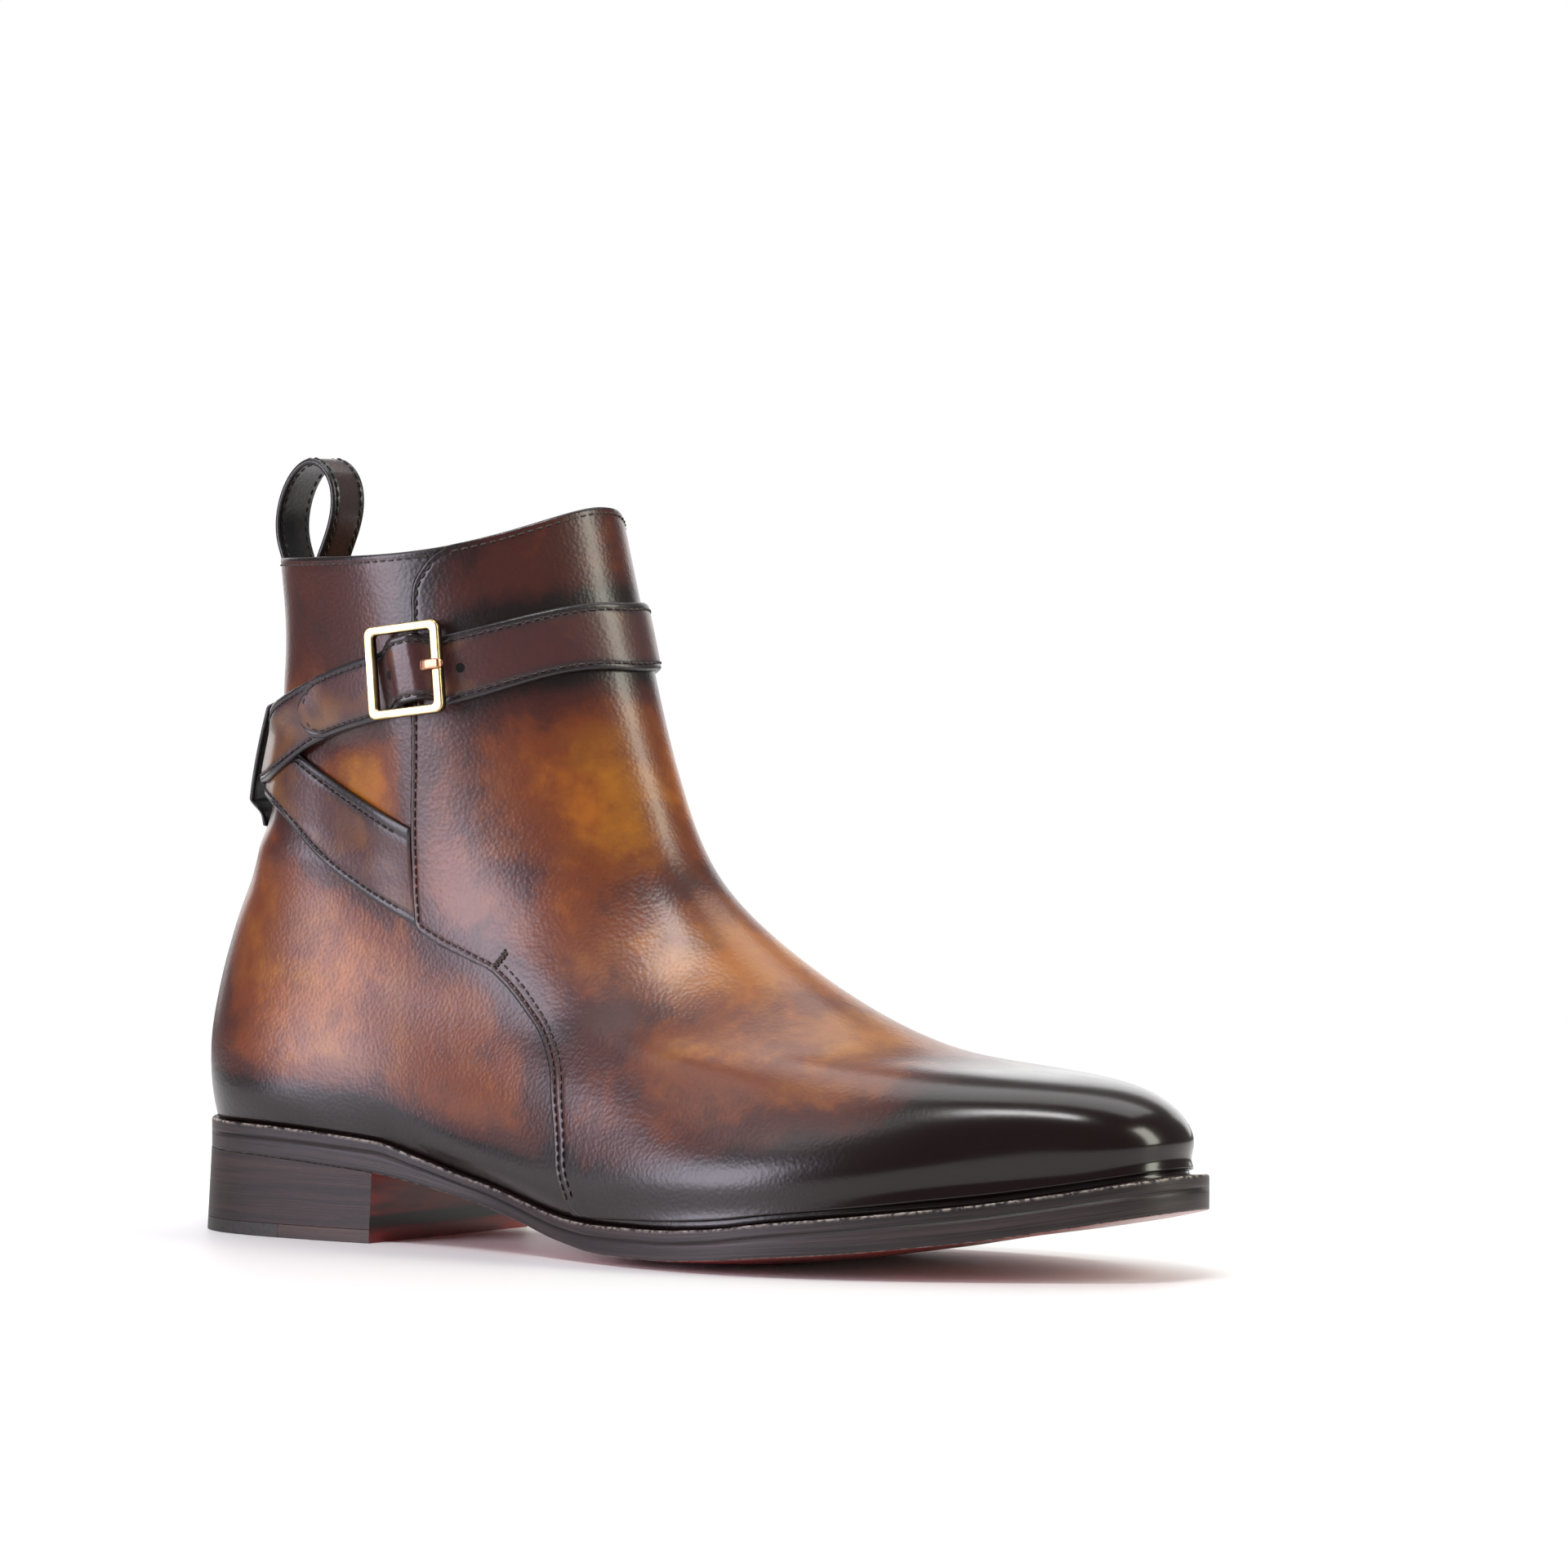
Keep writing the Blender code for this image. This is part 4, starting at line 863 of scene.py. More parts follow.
def inked_edge(name, light, dark, worn, rough=0.42):
    """Stacked leather edge, rasped, inked and hot-waxed: fine level scratches and layers, worn lighter at
    the rim."""
    m, tree, shader, place = blank(name)
    run = node(tree, "ShaderNodeUVMap", uv_map="run").outputs[0]
    # scratches 0.15 to 0.5 mm tall and some 30 mm long, from the run along the edge and the height on it
    lines = noise(tree, stretched(tree, run, 30.0, 2600.0, 1.0), 1.0, 5.0, roughness=0.7, distortion=0.3)
    layers = noise(tree, stretched(tree, run, 8.0, 420.0, 1.0), 1.0, 3.0)
    base = ramp(tree, sums(tree, "MULTIPLY", lines, layers), [(0.12, dark), (0.42, light)])
    rim = attribute(tree, "rim")
    specks = remap(tree, noise(tree, place, 700.0, 4.0), 0.42, 0.6)
    put(tree, shader, {"Base Color": painted(tree, sums(tree, "MULTIPLY", rim, specks), base, worn),
                       "Normal": relief(tree, (lines, 0.00009, 0.8), (specks, 0.00006, rim)),
                       "Roughness": rough, "Specular IOR Level": 0.4})
    return m


def lacquer(name, red, dark, band=False):
    """Red lacquer brushed over sole leather: smooth, slightly glossy, thinner in streaks; a black band on
    the breast."""
    m, tree, shader, place = blank(name)
    tone = noise(tree, stretched(tree, place, 40.0, 40.0, 260.0), 1.0, 4.0)
    colour = ramp(tree, tone, [(0.3, dark), (0.62, red)])
    if band:
        height = node(tree, "ShaderNodeSeparateXYZ", {0: place}).outputs["Z"]
        both = sums(tree, "MULTIPLY", remap(tree, height, 0.0035, 0.0043),
                    remap(tree, height, 0.0068, 0.0077, 1.0, 0.0))
        colour = painted(tree, both, colour, "#120C0B")
    put(tree, shader, {"Base Color": colour, "Normal": relief(tree, (tone, 0.00008, 1.0)),
                       "Roughness": 0.36, "Coat Weight": 0.4, "Coat Roughness": 0.2})
    return m


def moulded_rubber(name, colour):
    """Moulded heel rubber: even, nearly black, satin, with a pebbled mould skin."""
    m, tree, shader, place = blank(name)
    skin = noise(tree, place, 1100.0, 3.0)
    put(tree, shader, {"Base Color": ramp(tree, skin, [(0.3, "#1A1716"), (0.7, colour)]),
                       "Normal": relief(tree, (skin, 0.00004, 1.0)), "Roughness": 0.5})
    return m


def cast_brass(name, light, dark, rough):
    """Cast brass, tumbled and toned: pale gold faces, darkened to brown as painted shade on the side towards
    the boot, faint scratches.
    """
    m, tree, shader, place = blank(name)
    base = ramp(tree, noise(tree, place, 260.0, 4.0), [(0.25, light), (0.85, dark)])
    put(tree, shader, {"Base Color": painted(tree, attribute(tree, "burnish"), base, "#3A2A16"),
                       "Normal": relief(tree, (noise(tree, place, 2200.0, 2.0), 0.00001, 1.0)),
                       "Metallic": 1.0, "Roughness": rough})
    return m


def waxed_thread(name, colour):
    """Waxed linen thread: matt, dark, twisted, with lighter dots in its colour as painted glints."""
    m, tree, shader, place = blank(name)
    twist_and_glint = noise(tree, place, 2400.0, 1.0)
    put(tree, shader, {"Base Color": ramp(tree, twist_and_glint, [(0.35, colour), (0.8, "#5A4A44")]),
                       "Normal": relief(tree, (twist_and_glint, 0.00006, 1.0)), "Roughness": 0.55})
    return m


CALF_STOPS = (0.0, 0.26, 0.5, 0.72, 1.0)
STRAP_STOPS = (0.0, 0.35, 0.62, 0.82, 1.0)


def finish_of(name):
    """The material of that name, made the first time it is asked for."""
    found = bpy.data.materials.get(name)
    if found:
        return found
    c = bpy.context.scene.boot_colours
    calf = list(zip(CALF_STOPS, (c.calf_ochre, c.calf_tan, c.calf_brown, c.calf_dark, c.calf_black)))
    strap = list(zip(STRAP_STOPS, (c.strap_light, c.strap_brown, "#302023", "#1D1619", "#0D0B0C")))
    kinds = {
        "burnished_calf": (burnished_calf, calf, 0.34, 0.2, 0.62),
        "folded_calf": (burnished_calf, strap, 0.38, 0.3, 0.3),
        "lining_leather": (plain_leather, "#A9825A", "#8E6842", 0.6),
        "inked_sole_edge": (inked_edge, c.sole_edge, "#171213", "#A79C92"),
        "inked_heel": (inked_edge, c.heel, "#160F0F", "#80736A", 0.5),
        "waxed_top_piece": (inked_edge, "#4C352C", "#2A1D19", "#8A7464"),
        "red_lacquer": (lacquer, c.underside, "#7A1710"),
        "red_breast": (lacquer, "#7E1F17", "#4A1512", True),
        "heel_rubber_skin": (moulded_rubber, "#2C2725"),
        "toned_brass": (cast_brass, c.brass, "#A8905A", 0.3),
        "copper_brass": (cast_brass, c.prong, "#9A6C50", 0.32),
        "waxed_thread": (waxed_thread, c.thread),
        # near-black leather for the punched holes: painted shade inside them
        "deep_hole": (plain_leather, "#0A0808", "#050404", 0.9),
    }
    kind, *settings = kinds[name]
    return kind(name, *settings)


def hand_shading(points, level, angle):
    """How dark the rubbed calf is: the collar, feather line, toe, back and seams are dark, the sides light;
    one patch between the straps is lighter as a painted sheen.
    """
    x = points[..., 0]
    z = points[..., 2]
    a = np.degrees(folded(angle)[0])
    rise = z - feather_z(np.clip(x, 0, SOLE_LENGTH))
    low = 1 - smooth(rise, 12, 30)
    b = 0.34 + 0.22 * smooth(level, 0.78, 0.89) + 0.06 * smooth(level, 0.97, 1.0)
    b = b + 0.66 * (1 - smooth(rise, 6, 14)) + 0.22 * (1 - smooth(rise, 9, 20))
    b = b + 0.20 * smooth(x, 85, 150) * low
    b = b + 0.30 * (1 - smooth(a, 4, 22)) * (1 - smooth(level, 0.5, 0.62))
    b = b + 0.50 * smooth(x, 216, 262) + 0.30 * smooth(x, 248, 284) + 0.30 * smooth(x, 150, 235) * low
    # patches of darker and lighter dye, and the painted sheen between the straps
    for cx, cz, rx, rz, much in PATCHES:
        b = b + much * bell(x, cx, rx) * bell(z, cz, rz)
    return np.clip(b, 0, 1.15)


def mirror_gloss(points):
    """Mirror wax on the toe and along the feather line."""
    x = points[..., 0]
    rise = points[..., 2] - feather_z(np.clip(x, 0, SOLE_LENGTH))
    return np.clip(0.9 * smooth(x, 212, 260) + 0.30 * (1 - smooth(rise, 6, 22)), 0, 1)


def distance_to(points, line):
    """Shortest distance from each point to a line of points."""
    best = np.full(points.shape[:-1], 1e9)
    for start in range(0, len(line), 40):
        part = line[start:start + 41]
        gap = np.linalg.norm(points[..., None, :] - part, axis=-1).min(-1)
        best = np.minimum(best, gap)
    return best


def seam_line(inner, count=420, low=0.0, high=1.0):
    """Angle and level along the front panel's rear edge."""
    v = np.linspace(low, high, count)
    return seam_angle(v, inner), v


def run_of(theta, level, height):
    """Points of a surface curve at a height, and the outward directions there."""
    up = normal(theta, level)
    return surface(theta, level) + up * np.asarray(height)[..., None], up


# Pieces

def strap_edge(side, first, last, column):
    """Points along one edge of a strap between two running angles: column 0 is its upper edge, 2 its lower."""
    e = strap_at(side, np.linspace(first, last, 120) * side)
    return surface(np.radians(e[:, column]), e[:, column + 1])


def build_quarters():
    """Rear part of the upper and its lining: theta round the boot, level from the welt to the collar."""
    t = np.linspace(0, TURN, 300, endpoint=False)
    v = np.concatenate([np.linspace(0, 0.985, 134), [0.990, 0.994, 0.997, 0.999, 1.0]])
    tt, vv = np.meshgrid(t, v, indexing="ij")
    top = np.linalg.norm(surface(t, 0.99) - surface(t, 1.0), axis=-1)[:, None] * 100
    drop = (1 - vv) * top
    height = -0.55 * (1 - np.sqrt(1 - (1 - np.clip(drop / 0.55, 0, 1)) ** 2)) - 0.14 * bell(drop, ROW_IN, 0.5)
    base = surface(tt, vv)
    drawn = pinch(tt, vv)
    dark = np.zeros(tt.shape)
    for is_inner in (False, True):
        gap = distance_to(base, surface(*seam_line(is_inner, 200)))
        dark = np.maximum(dark, 0.30 * bell(gap, 0, 7.0))
    # the calf is darker along the lower edge of each strap: painted shadow under the strap, with some darker
    # rubbing
    for side in (1.0, -1.0):
        gap = distance_to(base, strap_edge(side, 80, -110, 2))
        dark = np.maximum(dark, 0.34 * bell(gap, 0, 6.0))
    shade = hand_shading(base, vv, tt) + dark + 0.4 * (1 - smooth(drop, 0.2, 1.2))
    shell("quarter_calf", raised(tt, vv, height - drawn), raised(tt, vv, REST - LINING - drawn),
          [finish_of("burnished_calf")], ring=True, node="upper", slot="upper_leather",
          values={"burnish": np.clip(shade, 0, 1.1), "gloss": mirror_gloss(base)})
    t = np.linspace(0, TURN, 160, endpoint=False)
    v = np.concatenate([np.linspace(0.004, 0.985, 60), [0.992, 0.996]])
    tt, vv = np.meshgrid(t, v, indexing="ij")
    outer, inner = (raised(tt, vv, -depth - pinch(tt, vv)) for depth in (LINING, UPPER_WALL))
    floor = feather_z(np.clip(outer[:, :1, 0], 0, SOLE_LENGTH))
    inner[:, :1, 2] = np.maximum(inner[:, :1, 2], floor)
    shell("shaft_lining", outer, inner, [finish_of("lining_leather")], ring=True, slot="insole_leather")


def build_front():
    """Front panel over the quarters: from its outer seam over the toe to its inner seam."""
    v = np.concatenate([np.linspace(0.012, 0.39, 84), np.linspace(0.393, 0.475, 34),
                        np.linspace(0.482, 0.975, 92), [0.981, 0.986, 0.990, 0.9935, 0.9965, 0.9985, 1.0]])
    near = np.array([0.0, 0.15, 0.4, 0.7, 1.0, 1.3, 1.5, 1.7, 1.9, 2.2, 2.6, 3.1, 3.5, 3.8, 4.1, 4.6, 5.4, 6.5,
                     8.0, 10.0])[:, None]
    left, right = (seam_angle(v, inner) + away / np.linalg.norm(tangents(seam_angle(v, inner), v)[0], axis=-1)
                   for inner, away in ((False, near), (True, -near[::-1])))
    f = np.linspace(0, 1, 122)[1:-1, None]
    f = f - 0.05 * np.sin(TURN * f)
    tt = np.concatenate([left, left[-1:] * (1 - f) + right[:1] * f, right])
    vv = np.broadcast_to(v, tt.shape).copy()
    base = surface(tt, vv)
    # each point is measured from the seam on its own side, and the first 80 rows are on the outer side
    gap = np.concatenate([distance_to(part, surface(*seam_line(is_inner, 520)))
                          for is_inner, part in ((False, base[:80]), (True, base[80:]))])
    gap = np.minimum(gap, 99.0)
    top = np.linalg.norm(base[:, -1] - base[:, -3], axis=-1)[:, None] / (v[-1] - v[-3])
    drop = (1 - vv) * top
    edge = np.minimum(gap, drop)
    # the edge is rounded from its foot up to the panel's face, and rows of stitches press the face in
    foot = 0.12
    lip = np.sqrt(np.clip(1 - (1 - np.clip(edge / 0.75, 0, 1)) ** 2, 0, 1))
    height = foot + (PANEL_GAP + PANEL_THICK - REST - foot) * lip
    height = height - 0.17 * bell(gap, SEAM_ROW_IN, 0.45) * (drop > 1.5) - 0.15 * bell(drop, ROW_IN, 0.5)
    height = height - 0.17 * bell(gap, SECOND_ROW_IN, 0.45) * (1 - smooth(vv, 0.405, 0.42))
    dark = 0.26 * bell(gap, 0, 9.0)
    # the panel is darker along both edges of each strap: painted shadow beside the strap, with some darker
    # rubbing
    for side in (1.0, -1.0):
        for column in (0, 2):
            away = distance_to(base, strap_edge(side, -85, -280, column))
            dark = np.maximum(dark, 0.30 * bell(away, 0, 6.0))
    shade = hand_shading(base, vv, tt) + dark + 0.5 * (1 - smooth(edge, 0.3, 1.0))
    shell("vamp_calf", raised(tt, vv, height), raised(tt, vv, REST), [finish_of("burnished_calf")],
          node="front_panel", slot="upper_leather",
          values={"burnish": np.clip(shade, 0, 1.1), "gloss": mirror_gloss(base)})


def toned(grid, tone):
    """Values of a folded band's points: how dark each is, with no mirror gloss."""
    return {"burnish": np.broadcast_to(tone, grid.shape[:2]), "gloss": 0.0}


def ribbon(name, at, low, half, thick, node_name, middle_tone, edge_tone, narrow=None, thin=1.0):
    """Folded band on the upper: at(share) gives angle and level across it, low its height above the upper."""
    y, h = band_profile(half, thick)
    share = 0.5 + y[None, :] / (2 * half)
    if narrow is not None:
        share = 0.5 + (share - 0.5) * narrow[:, None]
    t, lev = at(share)
    grid = raised(t, lev, low(t, lev) + h[None, :] * thin)
    edge = np.clip((half - np.abs(y)) / half, 0, 1)
    tone = middle_tone + (edge_tone - middle_tone) * (1 - smooth(edge, 0.05, 0.45))
    tone = np.where(h < thick * 0.72, 1.0, tone)
    tube(name, grid, [finish_of("folded_calf")], values=toned(grid, tone), node=node_name,
         slot="strap_leather")


def strap_run(low_side, turn):
    """A strap's edges at running angles; the long strap rises a little inside the buckle."""
    e = strap_at(low_side, turn)
    if low_side > 0:
        inside = smooth(turn + 360, 90, 97) * (1 - smooth(turn + 360, 103, 110))
        e[:, [1, 3]] += (BUCKLE_RISE * inside / BOOT_HEIGHT)[:, None]
    return e


def strap_band(name, low_side, turn, lift, node_name, narrow=None):
    """One strap along its running angle."""
    e = strap_run(low_side, turn)[:, None]

    def low(t, lev):
        return lift(np.degrees(t)) - pinch(t, lev)
    thin = (strap_top(low_side, turn) / STRAP_THICK)[:, None]
    ribbon(name, lambda share: across(e, share), low, STRAP_WIDTH / 2, STRAP_THICK, node_name, 0.34, 0.76,
           narrow, thin)


def strap_stitches(name, low_side, turn, lift, share, sizes):
    """A row of stitches on a strap at a share of its width."""
    t, lev = across(strap_run(low_side, turn), share)
    path, up = run_of(t, lev, lift(np.degrees(t)) + strap_top(low_side, turn) - 0.02 - pinch(t, lev))
    stitches(name, path, up, *sizes)


def build_straps(sizes):
    """The two crossed straps with a row of stitches along each edge, and the holes."""
    stop = TIP_ANGLE - 360
    turn = np.concatenate([np.linspace(STRAP_START, -230, 380), np.linspace(-230.7, -292, 150),
                           np.linspace(-292.4, -302, 34), np.linspace(-302.2, stop, 14)])
    done = length_along(strap_middle(strap_at(1.0, turn)))
    from_tip = done[-1] - done
    narrow = 0.04 + 0.96 * np.sqrt(1 - np.clip(1 - from_tip / STRAP_TIP, 0, 1) ** 2)
    strap_band("wrap_strap", 1.0, turn, long_lift, "strap_long", narrow)
    strap_band("cross_strap", -1.0, np.linspace(-STRAP_START, CROSS_END, 330), buckle_lift, "strap_buckle")
    row_share = ROW_IN / STRAP_WIDTH
    run = np.concatenate([np.linspace(STITCH_START, -230, 300), np.linspace(-230.7, stop + 2.4, 160)])
    left = np.interp(-run, -turn, from_tip) - ROW_IN
    pull = np.sqrt(1 - np.clip(1 - left / (STRAP_TIP - ROW_IN), 0, 1) ** 2)
    for word, sign in (("upper", -1), ("lower", 1)):
        share = 0.5 + sign * (0.5 - row_share) * pull
        strap_stitches("wrap_strap_%s_stitches" % word, 1.0, run, long_lift, share, sizes)
    run = np.linspace(-STITCH_START, 93.0, 300)
    for word, share in (("upper", row_share), ("lower", 1 - row_share)):
        strap_stitches("cross_strap_%s_stitches" % word, -1.0, run, buckle_lift, share, sizes)
    build_holes()


def build_holes():
    """Punched holes in the long strap: a near-black cup, painted as the shade inside the hole, with a pressed
    rim, turned round its own axis.
    """
    turn = np.linspace(0, TURN, 29)[:-1, None]
    radius = np.array([0.02, 0.5, 0.9, 1.06, 1.2, 1.3])[:, None, None]
    rise = np.array([0.0, 0.0, 0.01, 0.03, 0.0, -0.12])[:, None, None]
    for i, (angle, share) in enumerate(((114.9, 0.52), (95.0, 0.50))):
        t, lev = across(strap_run(1.0, np.array([angle - 360.0]))[0], share)
        up = normal(t, lev)
        c = surface(t, lev) + up * (long_lift(np.degrees(t)) + STRAP_THICK + 0.14)
        side = unit(np.cross(up, [0, 0, 1.0]))
        ring = side * np.cos(turn) + np.cross(side, up) * np.sin(turn)
        tube("strap_hole_%d" % (i + 1), c + ring * radius + up * rise, [finish_of("deep_hole")],
             slot="strap_leather")


def keeper_rise(level):
    """Height of the keeper above the upper: on the stay at its ends, clear of both straps between them."""
    share = (easy(KEEPER, 1, level) - KEEPER[0][1]) / (1 - KEEPER[0][1])
    return STAY_TOP + 0.1 + (KEEPER_RISE + 1.2 - STAY_TOP) * share


def back_reach(level):
    """Distance round the boot per radian at the back line."""
    return np.linalg.norm(tangents(np.zeros(level.shape), level)[0], axis=-1)


def upright_band(name, level, width, reach, low, thick, node_name, *tones):
    """A band along the back line at the given levels; reach is its distance per radian there."""
    def at(share):
        angle = (share - 0.5) * width / reach[:, None]
        return angle, np.broadcast_to(level[:, None], angle.shape)
    ribbon(name, at, low, width / 2, thick, node_name, *tones)


def build_back():
    """Back stay over the back seam, and the keeper that holds the straps."""
    v = np.linspace(0.014, 0.985, 220)
    upright_band("back_stay_calf", v, STAY_WIDTH, back_reach(v), lambda t, lev: REST, STAY_TOP, "back_stay",
                 0.62, 0.92)
    v = np.linspace(KEEPER[0][0], KEEPER[-1][0], 110)
    upright_band("keeper_calf", v, KEEPER_WIDTH, back_reach(v) + keeper_rise(v),
                 lambda t, lev: keeper_rise(lev), KEEPER_THICK, "back_keeper", 0.6, 0.95)


def build_back_stitches(sizes):
    """Stitch rows on the back stay and on the keeper."""
    v = np.linspace(0.03, 0.97, 240)
    v2 = np.linspace(KEEPER[0][0] + 0.008, KEEPER[-1][0] - 0.008, 120)
    rise = keeper_rise(v2)
    for name, level, width, reach, height in (
            ("stay", v, STAY_WIDTH, back_reach(v), STAY_TOP + 0.03),
            ("keeper", v2, KEEPER_WIDTH, back_reach(v2) + rise, rise + KEEPER_THICK - 0.02)):
        for word, sign in (("outer", 1), ("inner", -1)):
            path, up = run_of(sign * (width / 2 - ROW_IN) / reach, level, height)
            stitches("%s_%s_stitches" % (name, word), path, up, *sizes)


def build_loop(sizes):
    """Pull loop: a folded band carried along the loop's path, stitched at both edges of both its faces."""
    path = np.array(LOOP) * (SOLE_LENGTH, BOOT_HEIGHT)
    d = length_along(path)
    c = spline(d, path, np.linspace(0, d[-1], 200))
    g = unit(np.gradient(c, axis=0))
    n = np.stack([-g[:, 1], g[:, 0]], -1)
    inside = np.array([28.0, 188.0])
    if np.sum(n * (c - inside)) < 0:
        n = -n
    line, up = (np.insert(flat, 1, 0.0, axis=1) for flat in (c, n))
    side = np.array([0.0, 1.0, 0.0])
    y, h = band_profile(LOOP_WIDTH / 2, LOOP_THICK, LOOP_ROW_IN, 0.2, 0.0)
    h = h - LOOP_THICK / 2
    grid = line[:, None] + up[:, None] * h[:, None] + side * y[:, None]
    edge = np.clip((LOOP_WIDTH / 2 - np.abs(y)) / (LOOP_WIDTH / 2), 0, 1)
    tone = 0.55 + 0.40 * (1 - smooth(edge, 0.1, 0.6)) + 0.3 * (h < 0)
    tone = np.where(np.abs(h) < LOOP_THICK * 0.3, 1.0, tone)
    tube("finger_loop", grid, [finish_of("folded_calf")], values=toned(grid, tone), node="pull_loop",
         slot="strap_leather")
    for word, sign in (("outer", -1), ("inner", 1)):
        for face, way in (("out", 1), ("in", -1)):
            row = line + side * sign * (LOOP_WIDTH / 2 - LOOP_ROW_IN) + up * way * (LOOP_THICK / 2 - 0.05)
            stitches("loop_%s_%s_stitches" % (word, face), row[6:-6], up[6:-6] * way, *sizes)


def build_seam_stitches(sizes):
    """Stitch rows along the front panel's seams and the collar, and the bar tacks."""
    top = PANEL_GAP + PANEL_THICK - 0.07
    u = np.linspace(0, 1, 40)
    for word, is_inner in (("outer", False), ("inner", True)):
        sign = 1 if is_inner else -1
        for row, count, end, away in (("", 700, 0.985, SEAM_ROW_IN), ("second_", 400, 0.413, SECOND_ROW_IN)):
            t, v = beside(*seam_line(is_inner, count, 0.03, end), sign * away)
            stitches("seam_%s_%sstitches" % (word, row), *run_of(t, v, top), *sizes)
        # a bar tack goes from side to side of a short line across the corner of the seam
        t = np.radians(94.6 * (1 - u) + 100.4 * u)
        t = TURN - t if is_inner else t
        path, up = run_of(t, 0.425 + 0.036 * u, top + 0.1)
        side = unit(np.cross(up, np.gradient(path, axis=0)))
        zig = path + side * (TACK * np.sign(np.sin(u * TURN * 4.5)))[:, None]
        stitches("bar_tack_%s" % word, zig, up, TACK, 1.5, TACK)
    # collar row on the quarters, then on the front panel
    low_t, high_t = (float(seam_angle(np.array(0.995), is_inner)) for is_inner in (False, True))
    for word, run, rise in (("outer", np.linspace(0.3, low_t - 0.02, 160), -0.12),
                            ("inner", np.linspace(high_t + 0.02, TURN - 0.3, 160), -0.12),
                            ("front", np.linspace(low_t + 0.05, high_t - 0.05, 220), top)):
        step = np.linalg.norm(surface(run, 1.0) - surface(run, 0.99), axis=-1) / 0.01
        stitches("collar_%s_stitches" % word, *run_of(run, 1 - ROW_IN / step, rise), *sizes)


def rounded(width, height, radius, count=9):
    """Rounded rectangle as points."""
    turn = np.concatenate([np.radians(np.linspace(0, 90, count)) + q * np.pi / 2 for q in range(4)])
    cx = np.repeat([1, -1, -1, 1], count) * (width / 2 - radius)
    cy = np.repeat([1, 1, -1, -1], count) * (height / 2 - radius)
    return np.stack([cx + radius * np.cos(turn), cy + radius * np.sin(turn)], -1)


def squared(count, power):
    """A circle's cosines and sines pushed out towards a square: each to a power below 1, with its sign."""
    turn = np.radians(np.linspace(0, 360, count + 1)[:-1])
    return [np.sign(way) * np.abs(way) ** power for way in (np.cos(turn), np.sin(turn))]


def build_buckle():
    """Cast square buckle: a rounded bar carried round a rounded square, with its pin and tongue."""
    c, along, up, out, away = buckle_place()
    brass = finish_of("toned_brass")
    narrower = 1.3
    taller = 0.6
    drop = 0.4

    def place(x, y, z):
        return c + x[..., None] * along + y[..., None] * up + z[..., None] * out
    outer = rounded(BUCKLE_WIDTH - narrower, BUCKLE_HEIGHT + taller, BUCKLE_CORNER) - (0, drop)
    inner = rounded(BUCKLE_WIDTH - 2 * BUCKLE_SIDE, BUCKLE_HEIGHT - 2 * BUCKLE_END, 0.9) - (0, drop)
    cs, sn = squared(36, 0.34)
    x, y = (((outer + inner) / 2)[:, i, None] + ((outer - inner) / 2)[:, i, None] * cs for i in (0, 1))
    z = BUCKLE_LIFT + BUCKLE_DEPTH / 2 * (1 + sn)[None, :] + 0 * x
    grid = place(x, y, z)
    # the frame darkens towards the side that faces the boot: painted shade under the frame
    tone = np.clip(1 - smooth(z - BUCKLE_LIFT, BUCKLE_DEPTH * 0.45, BUCKLE_DEPTH * 0.86), 0, 1) * 0.9
    make("cast_buckle", grid, grid_quads(*grid.shape[:2], True, True), [brass], node="buckle_frame",
         slot="buckle_brass", values={"burnish": tone})
    turn = np.linspace(0, TURN, 25)[:-1]
    ys = np.linspace(-1, 1, 6)[:, None, None] * (BUCKLE_HEIGHT / 2 - BUCKLE_END - GAP)
    ring = np.cos(turn)[:, None] * along + np.sin(turn)[:, None] * away
    grid = c + BAR_LIFT * away + ys * np.cross(away, along) + ring * BAR_THICK / 2
    # the pin is darkened all over: painted shade under the strap
    tube("buckle_pin", grid, [brass], node="buckle_bar", slot="buckle_brass", values={"burnish": 0.3})
    s = np.linspace(0, 1, 40)
    px = BUCKLE_WIDTH / 2 * (0.50 + 0.52 * s)
    pz = BUCKLE_LIFT + BUCKLE_DEPTH + np.interp(s, [0, 0.12, 0.3, 0.5, 0.85, 0.95, 1.0],
                                                [-0.4, -0.05, 0.25, 0.32, 0.32, 0.2, -0.1])
    wide = PRONG_WIDTH / 2 * np.interp(s, [0, 0.1, 0.9, 0.97, 1.0], [0.86, 1.0, 0.95, 0.78, 0.5])
    tall = PRONG_THICK * np.interp(s, [0, 0.9, 1.0], [1.0, 0.92, 0.4])
    cs, sn = squared(24, 0.5)
    grid = place(px[:, None] + 0 * cs, wide[:, None] * cs, pz[:, None] + tall[:, None] / 2 * (1 + sn))
    tube("buckle_tongue", grid, [finish_of("copper_brass")], node="buckle_prong", slot="buckle_brass",
         values={"burnish": 0.05})


def carried(columns, run):
    """Grid, rim wear and run coordinates from columns of x, y, z, wear and height on the edge."""
    grid = np.stack([np.stack(column[:3], -1) for column in columns], 1)
    wear, height = (np.stack([np.broadcast_to(column[i], run.shape) for column in columns], 1) for i in (3, 4))
    return grid, {"rim": wear}, np.stack([np.broadcast_to(run[:, None], height.shape), height], -1)


